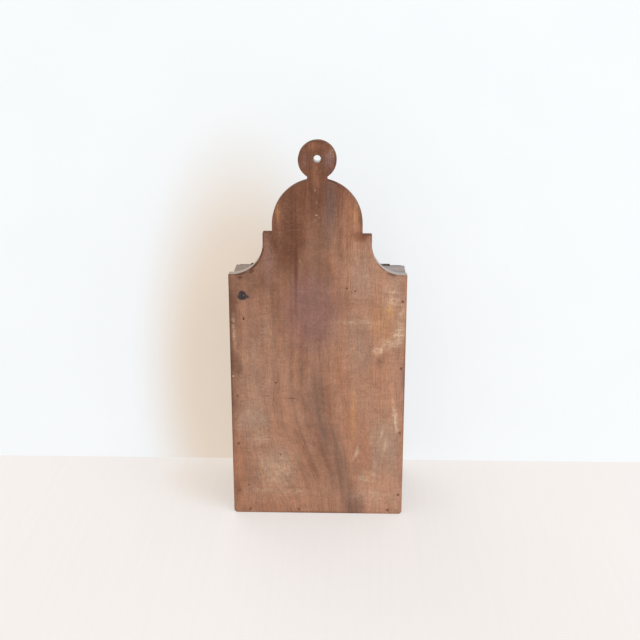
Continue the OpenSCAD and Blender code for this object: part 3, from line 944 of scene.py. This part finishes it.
@dataclass(frozen=True)
class Plaster(Finish):
    """Pale painted plaster with faint brush marks, and a painted warm shadow beside the box."""

    name: str
    paint_hex: str
    # Middle and reach of the painted warm shadow, and size of the brush marks, in metres
    painted_shadow_at: Point
    painted_shadow_reach: Point
    painted_shadow_share: float
    brush: Point
    # Share of its own light, which keeps the backdrop pale and leaves the rest to shadows
    glow: float
    clear_behind: bool = False
    painted_shadow_hex: str = "#eddecd"
    brush_range: tuple[float, float] = (0.97, 1.01)
    roughness: float = 0.85

    def surface(self, add: Adder) -> Socket:
        """Lay the plaster's nodes.

        Args:
            add: adds a node to the material.

        Returns:
            The plaster's shader.
        """
        place = add("TexCoord", out="Object")
        strokes = add("Mapping", {"Vector": place, "Scale": self.brush}, vector_type="TEXTURE")
        brushed = add("TexNoise", {"Vector": strokes, "Scale": 1.0, "Detail": 4.0})
        faint, full = self.brush_range
        shade = add("MapRange", {"Value": brushed, "To Min": faint, "To Max": full})
        # Painted warm shadow of the box, mixed into the paint near the box
        feeds = {"Vector": place, "Location": self.painted_shadow_at, "Scale": self.painted_shadow_reach}
        beside = add("Mapping", feeds, vector_type="TEXTURE")
        ball = add("TexGradient", {"Vector": beside}, "Fac", gradient_type="SPHERICAL")
        feeds = {"Value": ball, "From Max": 0.6, "To Max": self.painted_shadow_share}
        painted_shadow_mask = add("MapRange", feeds, interpolation_type="SMOOTHSTEP")
        mix = {FACTOR: painted_shadow_mask, UNDER: hex_linear(self.paint_hex), OVER: hex_linear(self.painted_shadow_hex)}
        paint_with_painted_shadow = add("Mix", mix, MIXED, data_type="RGBA")
        mix = {FACTOR: 1.0, UNDER: paint_with_painted_shadow, OVER: shade}
        colour = add("Mix", mix, MIXED, data_type="RGBA", blend_type="MULTIPLY")
        skin = add("BsdfPrincipled", {"Base Color": colour, "Roughness": self.roughness})
        # Its own light shows to the eye and in reflections, and lights nothing else
        rays = add("LightPath").node.outputs
        seen = rays["Is Camera Ray"]
        for kind in ("Is Glossy Ray", "Is Transmission Ray"):
            seen = add("Math", {0: seen, 1: rays[kind]}, operation="MAXIMUM")
        share = add("Math", {0: seen, 1: self.glow}, operation="MULTIPLY")
        glow = add("Emission", {"Color": colour, "Strength": 1.0})
        skin = add("MixShader", {0: share, 1: skin, 2: glow})
        if self.clear_behind:
            behind = add("NewGeometry", out="Backfacing")
            skin = add("MixShader", {0: behind, 1: skin, 2: add("BsdfTransparent")})
        return skin


# Rear of the back board: never polished, dry and matte, uneven from light, hands and smoke
REAR_WOOD = Mahogany(
    "dry_mahogany_rear", Grain.UPRIGHT, "#a67b63", "#986e57", "#88604b", "#4a2f22", 0.5, 0.65, 0.0, 0.3,
    fibre_mm=0.9, fibre_by=0.09, pore_share=0.15, mottle_by=0.12, speck_by=0.12, shine=0.2, lean_mm=42.0,
    arris_mm=1.0, tint_by=0.05, crest_by=0.2, marks=REAR_MARKS,
)
# Sawn edges of the back board: dark from dirt and handling, without shine. Their end grain, on the tops of the
# crest and steps, is darkened only a little: a painted highlight of the light from above
SAWN_EDGE = Mahogany(
    "sawn_mahogany_edge", Grain.UPRIGHT, "#9a7057", "#886048", "#6d4b37", "#a67c60", 0.5, 0.65, 0.0, 0.4,
    start=(11.0, 62.0, 5.0), end_tint="#dcc6b4", shine=0.1,
)
# Hollows of the shoulders where the edge looks up, and the wall of the hole: waxed, with pale arrises and paler
# end grain as a painted highlight of the light from above and of the pale wall that they reflect
HIGHLIT_EDGE = replace(
    SAWN_EDGE, name="wiped_mahogany_edge", arris="#c4ae9d", end_tint="#897060", end_blend="MIX",
    roughness=0.4, coat=0.8, shine=0.5,
)
# Shown faces of the case: waxed for generations, deep red-brown with a soft shine and rubbed arrises
WAXED_UPRIGHT = Mahogany(
    "waxed_mahogany_upright", Grain.UPRIGHT, "#8a563c", "#794932", "#66402c", "#a3765a", 0.5, 0.42, 0.12, 0.3,
    start=(37.0, 11.0, 0.0), end_tint="#cfb299", pore="#2e190f", pore_share=0.6, fibre_by=0.2, shine=0.35,
    patina_by=0.12, tool_by=0.03, scratch_share=0.08,
)
WAXED_ACROSS = replace(
    WAXED_UPRIGHT, name="waxed_mahogany_across", grain=Grain.ACROSS, start=(5.0, 71.0, 40.0),
    marks=FRONT_MARKS,
)
WAXED_DEEP = replace(WAXED_UPRIGHT, name="waxed_mahogany_deep", grain=Grain.DEEP, start=(91.0, 23.0, 8.0))
# Lid: the most handled board, darker, with a deeper shine
LID_WOOD = replace(
    WAXED_ACROSS, name="polished_mahogany_lid", light="#74482f", mid="#623a26", dark="#4b2c1c",
    roughness=0.36, coat=0.25, start=(60.0, 31.0, 130.0), end_tint="#e6ccb6", marks=LID_MARKS,
)
# Rail: never rubbed by hands, so its polish still mirrors a pale wall
RAIL_WOOD = replace(
    LID_WOOD, name="polished_mahogany_rail", roughness=0.32, coat=0.78, start=(22.0, 64.0, 17.0), marks=()
)
# Inside: planed but never finished, paler and dusty
RAW_ACROSS = Mahogany(
    "raw_mahogany_across", Grain.ACROSS, "#b08a6e", "#a07a5f", "#8c664c", "#7a5a47", 0.4, 0.72, 0.0, 0.45,
    start=(15.0, 81.0, 10.0),
)
RAW_DEEP = replace(RAW_ACROSS, name="raw_mahogany_deep", grain=Grain.DEEP, start=(43.0, 12.0, 77.0))
RAW_UPRIGHT = replace(RAW_ACROSS, name="raw_mahogany_upright", grain=Grain.UPRIGHT, start=(8.0, 55.0, 21.0))
# Cast brass left to dull: ochre metal almost covered by brown tarnish
BRASS = AgedMetal("tarnished_brass", "#756651", "#3d362c", 1.0, 0.5, 1.0, patch_mm=7.0)
# Hand-cut iron nails, brown with old rust and rubbed flush with the wood
IRON = AgedMetal("rusted_cut_iron", "#75503f", "#8f6149", 0.9, 0.8, 0.05)
# The rail's nails lie under its polish
POLISHED_IRON = AgedMetal("polished_cut_iron", "#3a2a22", "#4d3527", 0.9, 0.4, 0.05, coat=0.85)
# Floor and wall of the studio: matte white paint, with a painted warm shadow beside the box
FLOOR_PAINT = Plaster(
    "pale_floor_paint", "#f5f1ee", (0.11, -0.03, 0.0), (0.11, 0.11, 0.1), 0.45, (0.006, 0.3, 0.3), 0.5
)
WALL_PAINT = Plaster(
    "pale_wall_paint", "#f9fdff", (0.10, -0.08, 0.12), (0.15, 0.1, 0.36), 1.0, (0.11, 0.11, 0.11), 0.7,
    clear_behind=True,
)


@dataclass(frozen=True)
class Plan:
    """Places that several boards share, in millimetres."""

    left: float
    right: float
    front: float
    front_in: float
    front_top: float
    side_t: float
    board: float
    rail_seat: float
    rail_top: float
    lid_rear: float
    axis: Vector
    slope_deg: float = 24.0

    @classmethod
    def from_frame(cls) -> "Plan":
        """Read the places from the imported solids.

        Returns:
            The plan.
        """
        front_low, front_high = box_mm("front_board")
        side_low, side_high = box_mm("left_side")
        rail_low, rail_high = box_mm("hinge_rail")
        return cls(
            left=front_low.x, right=front_high.x, front=front_low.y, front_in=front_high.y,
            front_top=front_high.z, side_t=side_high.x - side_low.x, board=box_mm("back_board")[0].y,
            rail_seat=rail_low.z, rail_top=rail_high.z, lid_rear=box_mm("lid_board")[1].y,
            axis=Vector(frame["joints"][0]["pos_m"]) / MM,
        )

    @property
    def slope(self) -> float:
        """Give the slope of the lid as an angle."""
        return math.radians(self.slope_deg)

    def saw_slope(self, piece: Piece) -> None:
        """Saw a board's top to the slope of the lid.

        Args:
            piece: the board.
        """
        normal = (0.0, -math.sin(self.slope), math.cos(self.slope))
        slice_piece(piece, (0.0, self.front_in, self.front_top), normal, drop=True)


@dataclass(frozen=True)
class NailRecess:
    """The recesses that let the heads of nails into a face of a board."""

    head_w: float = 2.6
    room: float = 0.06
    depth: float = 1.2
    # Points of one nail lie nearer than this in the face
    spread: float = 6.0

    def spots(self, node: str, along: int) -> list[Vector]:
        """Find the nails of a group in the face that they are driven into.

        Args:
            node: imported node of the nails.
            along: number of the axis that the nails run along.

        Returns:
            The middle of each nail, in millimetres.
        """
        groups: list[list[Vector]] = []
        for vertex in frame["nodes"][node].data.vertices:
            point = vertex.co / MM
            point[along] = 0.0
            for group in groups:
                if (group[0] - point).length < self.spread:
                    group.append(point)
                    break
            else:
                groups.append([point])
        return [sum((Vector(map(end, zip(*group))) for end in (min, max)), Vector()) / 2 for group in groups]

    def sink(self, piece: Piece, nodes: Iterable[str], face: Point) -> None:
        """Cut the recesses of some groups of nails.

        Args:
            piece: the board.
            nodes: nodes of the nails.
            face: outward normal of the face that the heads lie in.
        """
        along = [bool(part) for part in face].index(True)
        half = Vector((1.0, 1.0, 1.0)) * (self.head_w / 2 + self.room)
        for node in nodes:
            low, high = box_mm(node)
            for spot in self.spots(node, along):
                a, b = spot - half, spot + half
                if face[along] > 0:
                    a[along], b[along] = high[along] - self.depth, high[along] + LAP
                else:
                    a[along], b[along] = low[along] - LAP, low[along] + self.depth
                shape_with(piece, add_block("nail_recess", a, b), Cut.TAKE)


@dataclass(frozen=True)
class BackBoard:
    """The tall back board with its coves, steps, arched crest and pierced ear."""

    shoulder_h: float = 296.0
    left_cove_r: float = 34.5
    right_cove_r: float = 36.0
    left_step_h: float = 45.3
    right_step_h: float = 47.5
    step_w: float = 10.5
    arch_r: float = 50.0
    arch_h: float = 57.3
    crest_x: float = 0.4
    neck_w: float = 22.0
    ear_r: float = 21.0
    hole_r: float = 4.0
    hole_rise: float = 1.6
    hole_wear: float = 0.15
    foot_r: float = 4.4
    arris: float = 0.9
    # Angle of one facet of an arc, and the fewest facets
    facet_deg: float = 2.25
    facets: int = 6
    worm_r: float = 0.75
    worm_deep: float = 3.0
    # X and Z of the old pin and worm holes in the rear face
    worm_holes: tuple[tuple[float, float], ...] = (
        (48.1, 166.8), (43.8, 76.6), (-42.0, 277.5), (-32.6, 280.7), (-52.2, 46.9)
    )

    @property
    def arch_z(self) -> float:
        """Give the height of the arch's centre."""
        return self.shoulder_h + self.arch_h

    @property
    def ear_z(self) -> float:
        """Give the height of the ear's centre."""
        return self.arch_z + self.arch_r + self.ear_r

    def trace(self, low: Vector, high: Vector) -> Piece:
        """Trace the outline on the rear face and close it.

        Args:
            low: lowest corner of the board's box.
            high: highest corner of the board's box.

        Returns:
            A flat face with the board's outline.
        """
        neck = self.neck_w / 2
        neck_at_arch = math.degrees(math.acos(neck / self.arch_r))
        neck_at_ear = -math.degrees(math.acos(neck / self.ear_r))
        here = Vector((low.x, 0.0, 0.0))

        def line_to(x: float, z: float) -> None:
            """Draw a straight edge to a point.

            Args:
                x: X of the point in millimetres.
                z: Z of the point in millimetres.
            """
            step = Vector((x, 0.0, z)) - here
            bpy.ops.mesh.extrude_vertices_move(TRANSFORM_OT_translate={"value": step * MM})
            here.xyz = (x, 0.0, z)

        def arc_to(x: float, z: float, radius: float, start: float, end: float) -> None:
            """Draw an arc round a centre.

            Args:
                x: X of the centre in millimetres.
                z: Z of the centre in millimetres.
                radius: radius in millimetres.
                start: angle of the arc's start in degrees.
                end: angle of the arc's end in degrees.
            """
            steps = max(self.facets, round(abs(end - start) / self.facet_deg))
            middle = Vector((x, high.y, z)) * MM
            angle = math.radians(end - start)
            bpy.ops.mesh.spin(steps=steps, angle=angle, center=middle, axis=(0.0, 1.0, 0.0))
            turn = math.radians(end)
            here.xyz = (x + radius * math.cos(turn), 0.0, z + radius * math.sin(turn))

        activate(None)
        bpy.ops.mesh.primitive_plane_add(size=MM, location=Vector((low.x, high.y, 0.0)) * MM)
        board = settle("arched_back_board")
        mid, shoulder = self.crest_x, self.shoulder_h
        step_l, step_r = (mid + side * (self.arch_r + self.step_w) for side in (-1, 1))
        arch_l, arch_r = (mid + side * self.arch_r for side in (-1, 1))
        cove_l, cove_r = step_l - self.left_cove_r, step_r + self.right_cove_r
        with editing(board):
            bpy.ops.mesh.merge(type="CENTER")
            line_to(low.x, shoulder)
            line_to(cove_l, shoulder)
            arc_to(cove_l, shoulder + self.left_cove_r, self.left_cove_r, -90, 0)
            line_to(step_l, shoulder + self.left_step_h)
            line_to(arch_l, shoulder + self.left_step_h)
            line_to(arch_l, self.arch_z)
            arc_to(mid, self.arch_z, self.arch_r, 180, 180 - neck_at_arch)
            line_to(mid - neck, self.ear_z + self.ear_r * math.sin(math.radians(neck_at_ear)))
            arc_to(mid, self.ear_z, self.ear_r, 180 - neck_at_ear, neck_at_ear)
            line_to(mid + neck, self.arch_z + self.arch_r * math.sin(math.radians(neck_at_arch)))
            arc_to(mid, self.arch_z, self.arch_r, neck_at_arch, 0)
            line_to(arch_r, shoulder + self.right_step_h)
            line_to(step_r, shoulder + self.right_step_h)
            line_to(step_r, shoulder + self.right_cove_r)
            arc_to(cove_r, shoulder + self.right_cove_r, self.right_cove_r, 180, 270)
            line_to(high.x, shoulder)
            line_to(high.x, 0.0)
            bpy.ops.mesh.select_all(action="SELECT")
            bpy.ops.mesh.remove_doubles(threshold=NEAR * MM)
            bpy.ops.mesh.select_all(action="SELECT")
            bpy.ops.mesh.edge_face_add()
        return board

    def build(self, plan: Plan) -> None:
        """Model the board and put it in place.

        Args:
            plan: places that the boards share.
        """
        low, high = box_mm("back_board")
        thick = high.y - low.y
        hole_z = self.ear_z + self.hole_rise
        board = self.trace(low, high)
        with editing(board, Part.FACES, lambda middle, normal: True):
            bpy.ops.mesh.extrude_region_move(TRANSFORM_OT_translate={"value": (0.0, -thick * MM, 0.0)})
            bpy.ops.mesh.select_all(action="SELECT")
            bpy.ops.mesh.normals_make_consistent(inside=False)
        for x in (low.x, high.x):
            round_edges(board, at(x=x, z=0.0), self.foot_r, steps=6)
        wear_edges(board, self.arris, steps=3)
        hole = (self.crest_x, (low.y + high.y) / 2, hole_z)
        shape_with(board, add_rod("hole", hole, self.hole_r, 2 * thick, ALONG_Y, sides=64), Cut.TAKE)

        def off_hole(point: Vector) -> float:
            """Give a point's distance from the middle of the hole, seen from behind."""
            return math.hypot(point.x - self.crest_x, point.z - hole_z)

        round_edges(
            board,
            lambda a, b: abs(a.y - b.y) < NEAR and all(abs(off_hole(p) - self.hole_r) < NEAR for p in (a, b)),
            self.hole_wear, steps=2
        )
        for x, z in self.worm_holes:
            worm = add_rod("worm", (x, high.y, z), self.worm_r, 2 * self.worm_deep, ALONG_Y, sides=16)
            shape_with(board, worm, Cut.TAKE)
        NailRecess().sink(board, ("back_nails_left", "back_nails_right", "back_nails_bottom"), (0, 1, 0))
        slice_piece(board, (0.0, 0.0, plan.rail_seat), (0.0, 0.0, 1.0), drop=False)

        def gets_painted_highlight(middle: Vector, normal: Vector) -> bool:
            """Tell whether a face lies in the hollow of a shoulder and looks up, or lies in the hole.

            Args:
                middle: the face's middle in millimetres.
                normal: its normal.

            Returns:
                Whether it gets the painted highlight.
            """
            in_cove = self.shoulder_h - LAP < middle.z < self.shoulder_h + self.left_cove_r
            looks_up = middle.y < high.y - self.arris and normal.z > 0.1 and abs(normal.y) < 0.8
            return in_cove and looks_up or off_hole(middle) < self.hole_r and abs(normal.y) < 0.5

        def shown(middle: Vector, normal: Vector) -> bool:
            """Tell whether a face looks to the front."""
            return middle.y < low.y + self.arris and normal.y < -0.5

        REAR_WOOD.paint(board)
        SAWN_EDGE.paint(board, lambda middle, normal: middle.y < high.y - self.arris)
        # Faces that look up in the coves, and the wall of the hole, get a painted highlight
        HIGHLIT_EDGE.paint(board, gets_painted_highlight)
        WAXED_UPRIGHT.paint(board, shown)
        RAW_UPRIGHT.paint(
            board,
            lambda middle, normal: shown(middle, normal) and middle.z < plan.rail_seat and normal.y < -FACING
        )
        install(board, "back_board", "case")


@dataclass(frozen=True)
class Case:
    """The dovetailed case: two sides with tails, a front with pins, and a bottom."""

    tail_count: int = 5
    pin_w: float = 14.0
    # Length of a tail's flank for each millimetre that it widens
    tail_run: float = 6.0
    joint_wear: float = 0.28
    corner_wear: float = 1.1

    def tail(self, plan: Plan, x: tuple[float, float], index: int, past: float) -> Piece:
        """Model one tail, which widens towards the front.

        Args:
            plan: places that the boards share.
            x: lowest and highest X.
            index: number of the tail from the bottom.
            past: how far it reaches past the front.

        Returns:
            The tail.
        """
        front_top = plan.front_top - (plan.front_in - plan.front) * math.tan(plan.slope)
        pitch = front_top / self.tail_count
        back_y, front_y = plan.front_in + LAP, plan.front - past
        z = (index + 0.5) * pitch
        root = (pitch - self.pin_w) / 2
        back_half = root - LAP / self.tail_run
        front_half = root + (plan.front_in - front_y) / self.tail_run
        tail = add_block("tail", (x[0], front_y, z - back_half), (x[1], back_y, z + back_half))
        with editing(tail, Part.FACES, lambda middle, normal: normal.y < -FACING):
            bpy.ops.transform.resize(
                value=(1.0, 1.0, front_half / back_half),
                center_override=Vector((sum(x) / 2, front_y, z)) * MM
            )
        return tail

    def finish_joint(self, piece: Piece, corners: Iterable[float], plan: Plan) -> None:
        """Round a board's share of the upright front corners, and wear its joints.

        Args:
            piece: the board.
            corners: X of the corners.
            plan: places that the boards share.
        """
        tidy(piece)
        for x in corners:
            round_edges(piece, at(x=x, y=plan.front), self.corner_wear, steps=4)
        wear_edges(piece, self.joint_wear, steps=2)

    def side(self, plan: Plan, hand: Hand) -> None:
        """Model one side with its tails and put it in place.

        Args:
            plan: places that the boards share.
            hand: which side it is.
        """
        word, out = hand.name.lower(), hand.value
        low, high = box_mm(f"{word}_side")
        x = (low.x, high.x)
        side = add_block(
            f"dovetailed_{word}_side", (low.x, plan.front_in, 0.0), (high.x, plan.board, plan.rail_seat)
        )
        plan.saw_slope(side)
        for index in range(self.tail_count):
            shape_with(side, self.tail(plan, x, index, 0.0), Cut.ADD)
        self.finish_joint(side, (low.x if hand is Hand.LEFT else high.x,), plan)
        NailRecess().sink(side, (f"{word}_bottom_nails",), (out, 0, 0))
        WAXED_DEEP.paint(side)
        RAW_DEEP.paint(side, lambda middle, normal: normal.x * out < -FACING and middle.y > plan.front_in)
        install(side, f"{word}_side", "case")

    def front(self, plan: Plan) -> None:
        """Model the front with its pins and put it in place.

        Args:
            plan: places that the boards share.
        """
        front = add_block(
            "dovetailed_front", (plan.left, plan.front, 0.0), (plan.right, plan.front_in, plan.front_top)
        )
        plan.saw_slope(front)
        left = (plan.left - LAP, plan.left + plan.side_t)
        right = (plan.right - plan.side_t, plan.right + LAP)
        for x in (left, right):
            for index in range(self.tail_count):
                shape_with(front, self.tail(plan, x, index, LAP), Cut.TAKE)
        self.finish_joint(front, (plan.left, plan.right), plan)
        NailRecess().sink(front, ("front_bottom_nails",), (0, -1, 0))
        WAXED_ACROSS.paint(front)
        RAW_ACROSS.paint(front, lambda middle, normal: normal.y > FACING)
        install(front, "front_board", "case")

    def bottom(self) -> None:
        """Model the bottom and put it in place."""
        bottom = add_block("planed_bottom", *box_mm("bottom_board"))
        wear_edges(bottom, self.joint_wear, steps=2)
        RAW_ACROSS.paint(bottom)
        install(bottom, "bottom_board", "case")

    def build(self, plan: Plan) -> None:
        """Build the whole case.

        Args:
            plan: places that the boards share.
        """
        for hand in Hand:
            self.side(plan, hand)
        self.front(plan)
        self.bottom()


@dataclass(frozen=True)
class LidAndRail:
    """The nailed rail, the sloping moulded lid and the beds of the hinges in both."""

    lid_t: float = 10.0
    joint_bevel: float = 2.4
    mould_r: float = 4.5
    mould_step: float = 1.2
    mould_room: float = 0.1
    lid_lip: float = 7.0
    leaf_t: float = 1.4
    leaf_h: float = 8.4
    bed_r: float = 2.5
    bed_room: float = 0.4
    rail_wear: float = 0.5
    lid_wear: float = 0.3

    def let_in_hinges(self, piece: Piece, plan: Plan, y: tuple[float, float]) -> None:
        """Cut the beds of both hinges.

        Args:
            piece: the rail or the lid.
            plan: places that the boards share.
            y: lowest and highest Y of a leaf.
        """
        for hand in Hand:
            low, high = box_mm(f"{hand.name.lower()}_rail_leaf")
            middle = ((low.x + high.x) / 2, plan.axis.y, plan.axis.z)
            length = high.x - low.x + 2 * self.bed_room
            rod = add_rod("knuckle_bed", middle, self.bed_r, length, ALONG_X, sides=48)
            shape_with(piece, rod, Cut.TAKE)
            bed = add_block("leaf_bed", (low.x, y[0], plan.axis.z - self.leaf_h), (high.x, y[1], plan.axis.z))
            shape_with(piece, bed, Cut.TAKE)

    def rail(self, plan: Plan) -> None:
        """Model the rail and put it in place.

        Args:
            plan: places that the boards share.
        """
        low, high = box_mm("hinge_rail")
        rail = add_block("nailed_rail", low, high)
        round_edges(rail, at(y=low.y, z=high.z), self.joint_bevel, steps=1)
        wear_edges(rail, self.rail_wear, steps=3)
        self.let_in_hinges(rail, plan, (low.y - LAP, low.y + self.leaf_t))
        NailRecess().sink(rail, ("rail_nails",), (0, 0, 1))
        RAIL_WOOD.paint(rail)
        LID_WOOD.paint(rail, lambda middle, normal: abs(normal.x) > FACING)
        RAW_ACROSS.paint(rail, lambda middle, normal: normal.z < -FACING)
        install(rail, "hinge_rail", "case")

    def lid(self, plan: Plan) -> None:
        """Model the lid flat, slope it and put it in place.

        Args:
            plan: places that the boards share.
        """
        low, high = box_mm("lid_board")
        reach = plan.lid_rear - plan.front + self.lid_lip
        round_part = (self.mould_step + self.mould_r) * math.sin(plan.slope)
        length = (reach - self.mould_r + round_part) / math.cos(plan.slope) + self.mould_r
        rim = self.mould_r + self.mould_room
        top = -self.mould_step
        lid = add_block("moulded_lid", (low.x, -length, -self.lid_t), (high.x, self.lid_t, top))
        for point, normal in (
            ((low.x + rim, 0.0, 0.0), (1.0, 0.0, 0.0)),
            ((high.x - rim, 0.0, 0.0), (1.0, 0.0, 0.0)),
            ((0.0, rim - length, 0.0), (0.0, 1.0, 0.0)),
        ):
            slice_piece(lid, point, normal, drop=False)

        def raised(middle: Vector, normal: Vector) -> bool:
            """Tell whether a face is the field inside the moulding."""
            return normal.z > FACING and low.x + rim < middle.x < high.x - rim and middle.y > rim - length

        with editing(lid, Part.FACES, raised):
            lift = (0.0, 0.0, self.mould_step * MM)
            bpy.ops.mesh.extrude_region_move(TRANSFORM_OT_translate={"value": lift})
        tidy(lid)
        rims = (at(z=top, x=low.x), at(z=top, x=high.x), at(z=top, y=-length))
        round_edges(lid, lambda a, b: any(on_rim(a, b) for on_rim in rims), self.mould_r, steps=7)
        slice_piece(lid, (0.0, 0.0, 0.0), (0.0, math.cos(plan.slope), -math.sin(plan.slope)), drop=True)
        round_edges(lid, at(y=0.0, z=0.0), self.joint_bevel, steps=1)
        activate(lid)
        lid.rotation_euler = (plan.slope, 0.0, 0.0)
        lid.location = Vector((0.0, plan.lid_rear, plan.rail_top)) * MM
        bpy.ops.object.transform_apply(location=True, rotation=True, scale=True)
        wear_edges(lid, self.lid_wear, steps=2)
        self.let_in_hinges(lid, plan, (plan.lid_rear - self.leaf_t, plan.lid_rear + LAP))
        LID_WOOD.paint(lid)
        RAW_ACROSS.paint(lid, lambda middle, normal: normal.z < -0.85)
        install(lid, "lid_board", "lid")

    def build(self, plan: Plan) -> None:
        """Build the rail and the lid.

        Args:
            plan: places that the boards share.
        """
        self.rail(plan)
        self.lid(plan)


@dataclass(frozen=True)
class Fittings:
    """Hinges, screws and nails, which keep their solids with softened edges."""

    metal_wear: float = 0.16
    nail_wear: float = 0.12

    def dress(self, nodes: Iterable[str], metal: AgedMetal, wear: float) -> None:
        """Soften the edges of some nodes and give them a metal.

        Args:
            nodes: names of the nodes.
            metal: their finish.
            wear: width of the softened edge in millimetres.
        """
        for node in nodes:
            solid = frame["nodes"][node]
            weld = solid.modifiers.new("weld", "WELD")
            weld.merge_threshold = WELD * MM
            soft = solid.modifiers.new("wear", "BEVEL")
            soft.width = wear * MM
            soft.segments = 2
            soft.limit_method = "ANGLE"
            soft.angle_limit = math.radians(SHADE_DEG)
            solid.data.materials.clear()
            solid.data.materials.append(metal.material())
            LOG.info("%s keeps its solid in %s", node, metal.name)

    def build(self) -> None:
        """Dress all the fittings."""
        hinges = [node for node in frame["nodes"] if node.endswith(("_leaf", "_pin", "_screws"))]
        nails = [node for node in frame["nodes"] if "nails" in node and node != "rail_nails"]
        self.dress(hinges, BRASS, self.metal_wear)
        self.dress(nails, IRON, self.nail_wear)
        self.dress(["rail_nails"], POLISHED_IRON, self.nail_wear)


@dataclass(frozen=True)
class Lamp:
    """A soft square lamp."""

    name: str
    place: Point
    watts: float
    size: float
    tint: str


@dataclass(frozen=True)
class Studio:
    """A pale floor and wall, soft light and a camera at the photograph's angle, in metres."""

    lens_mm: float = 62.4375
    sensor_mm: float = 36.0
    camera_at: Point = (-0.0335, 1.2612, 0.6327)
    camera_looks: Point = (0.0246, -0.9501, -0.3108)
    floor_span: float = 40.0
    wall_y: float = -0.0807
    sky_level: float = 0.86
    sky_tint: str = "#fffaf6"
    # A window on the left of the box, seen from the front, and a weak fill in front, both aimed at the box
    lamps: tuple[Lamp, ...] = (
        Lamp("window", (-1.6, 1.8, 1.8), 28.0, 2.2, "#ecf3ff"),
        Lamp("fill", (0.9, -1.9, 1.6), 12.0, 1.6, "#ffffff"),
    )
    lamps_aim: Point = (0.0, 0.05, 0.2)

    def stand(self, name: str, data: bpy.types.ID, place: Point, looks: Vector) -> bpy.types.Object:
        """Stand a camera or a lamp in the room.

        Args:
            name: its name.
            data: its camera or light data.
            place: where it stands.
            looks: the way that it looks.

        Returns:
            The new object.
        """
        thing = bpy.data.objects.new(name, data)
        bpy.context.scene.collection.objects.link(thing)
        thing.location = place
        thing.rotation_euler = looks.to_track_quat("-Z", "Y").to_euler()
        return thing

    def camera(self) -> None:
        """Set up the camera."""
        data = bpy.data.cameras.new("camera")
        data.lens = self.lens_mm
        data.sensor_width = self.sensor_mm
        bpy.context.scene.camera = self.stand("camera", data, self.camera_at, Vector(self.camera_looks))

    def room(self) -> None:
        """Lay the floor and set the wall behind the box, which is clear from its own back."""
        activate(None)
        bpy.ops.mesh.primitive_plane_add(size=self.floor_span)
        floor = settle("floor")
        FLOOR_PAINT.paint(floor)
        activate(None)
        bpy.ops.mesh.primitive_plane_add(
            size=self.floor_span, location=(0.0, self.wall_y, self.floor_span / 2),
            rotation=(-math.pi / 2, 0.0, 0.0)
        )
        wall = settle("wall")
        WALL_PAINT.paint(wall)
        wall.visible_diffuse = False
        wall.visible_shadow = False

    def light(self) -> None:
        """Set the world and hang the lamps."""
        world = bpy.data.worlds.new("studio")
        bpy.context.scene.world = world
        world.use_nodes = True
        world.node_tree.nodes.clear()
        add = partial(add_node, world.node_tree)
        sky = add("Background", {"Color": hex_linear(self.sky_tint), "Strength": self.sky_level})
        add("OutputWorld", {"Surface": sky})
        for lamp in self.lamps:
            data = bpy.data.lights.new(lamp.name, "AREA")
            data.energy = lamp.watts
            data.size = lamp.size
            data.color = hex_linear(lamp.tint)[:3]
            self.stand(lamp.name, data, lamp.place, Vector(self.lamps_aim) - Vector(lamp.place))

    def build(self) -> None:
        """Set up the whole studio."""
        self.camera()
        self.room()
        self.light()
        bpy.context.scene.view_settings.view_transform = "Standard"


def main() -> None:
    """Build the box and the studio."""
    logging.basicConfig(level=logging.INFO, format="%(message)s")
    plan = Plan.from_frame()
    Studio().build()
    BackBoard().build(plan)
    Case().build(plan)
    LidAndRail().build(plan)
    Fittings().build()


if __name__ == "__main__":
    main()
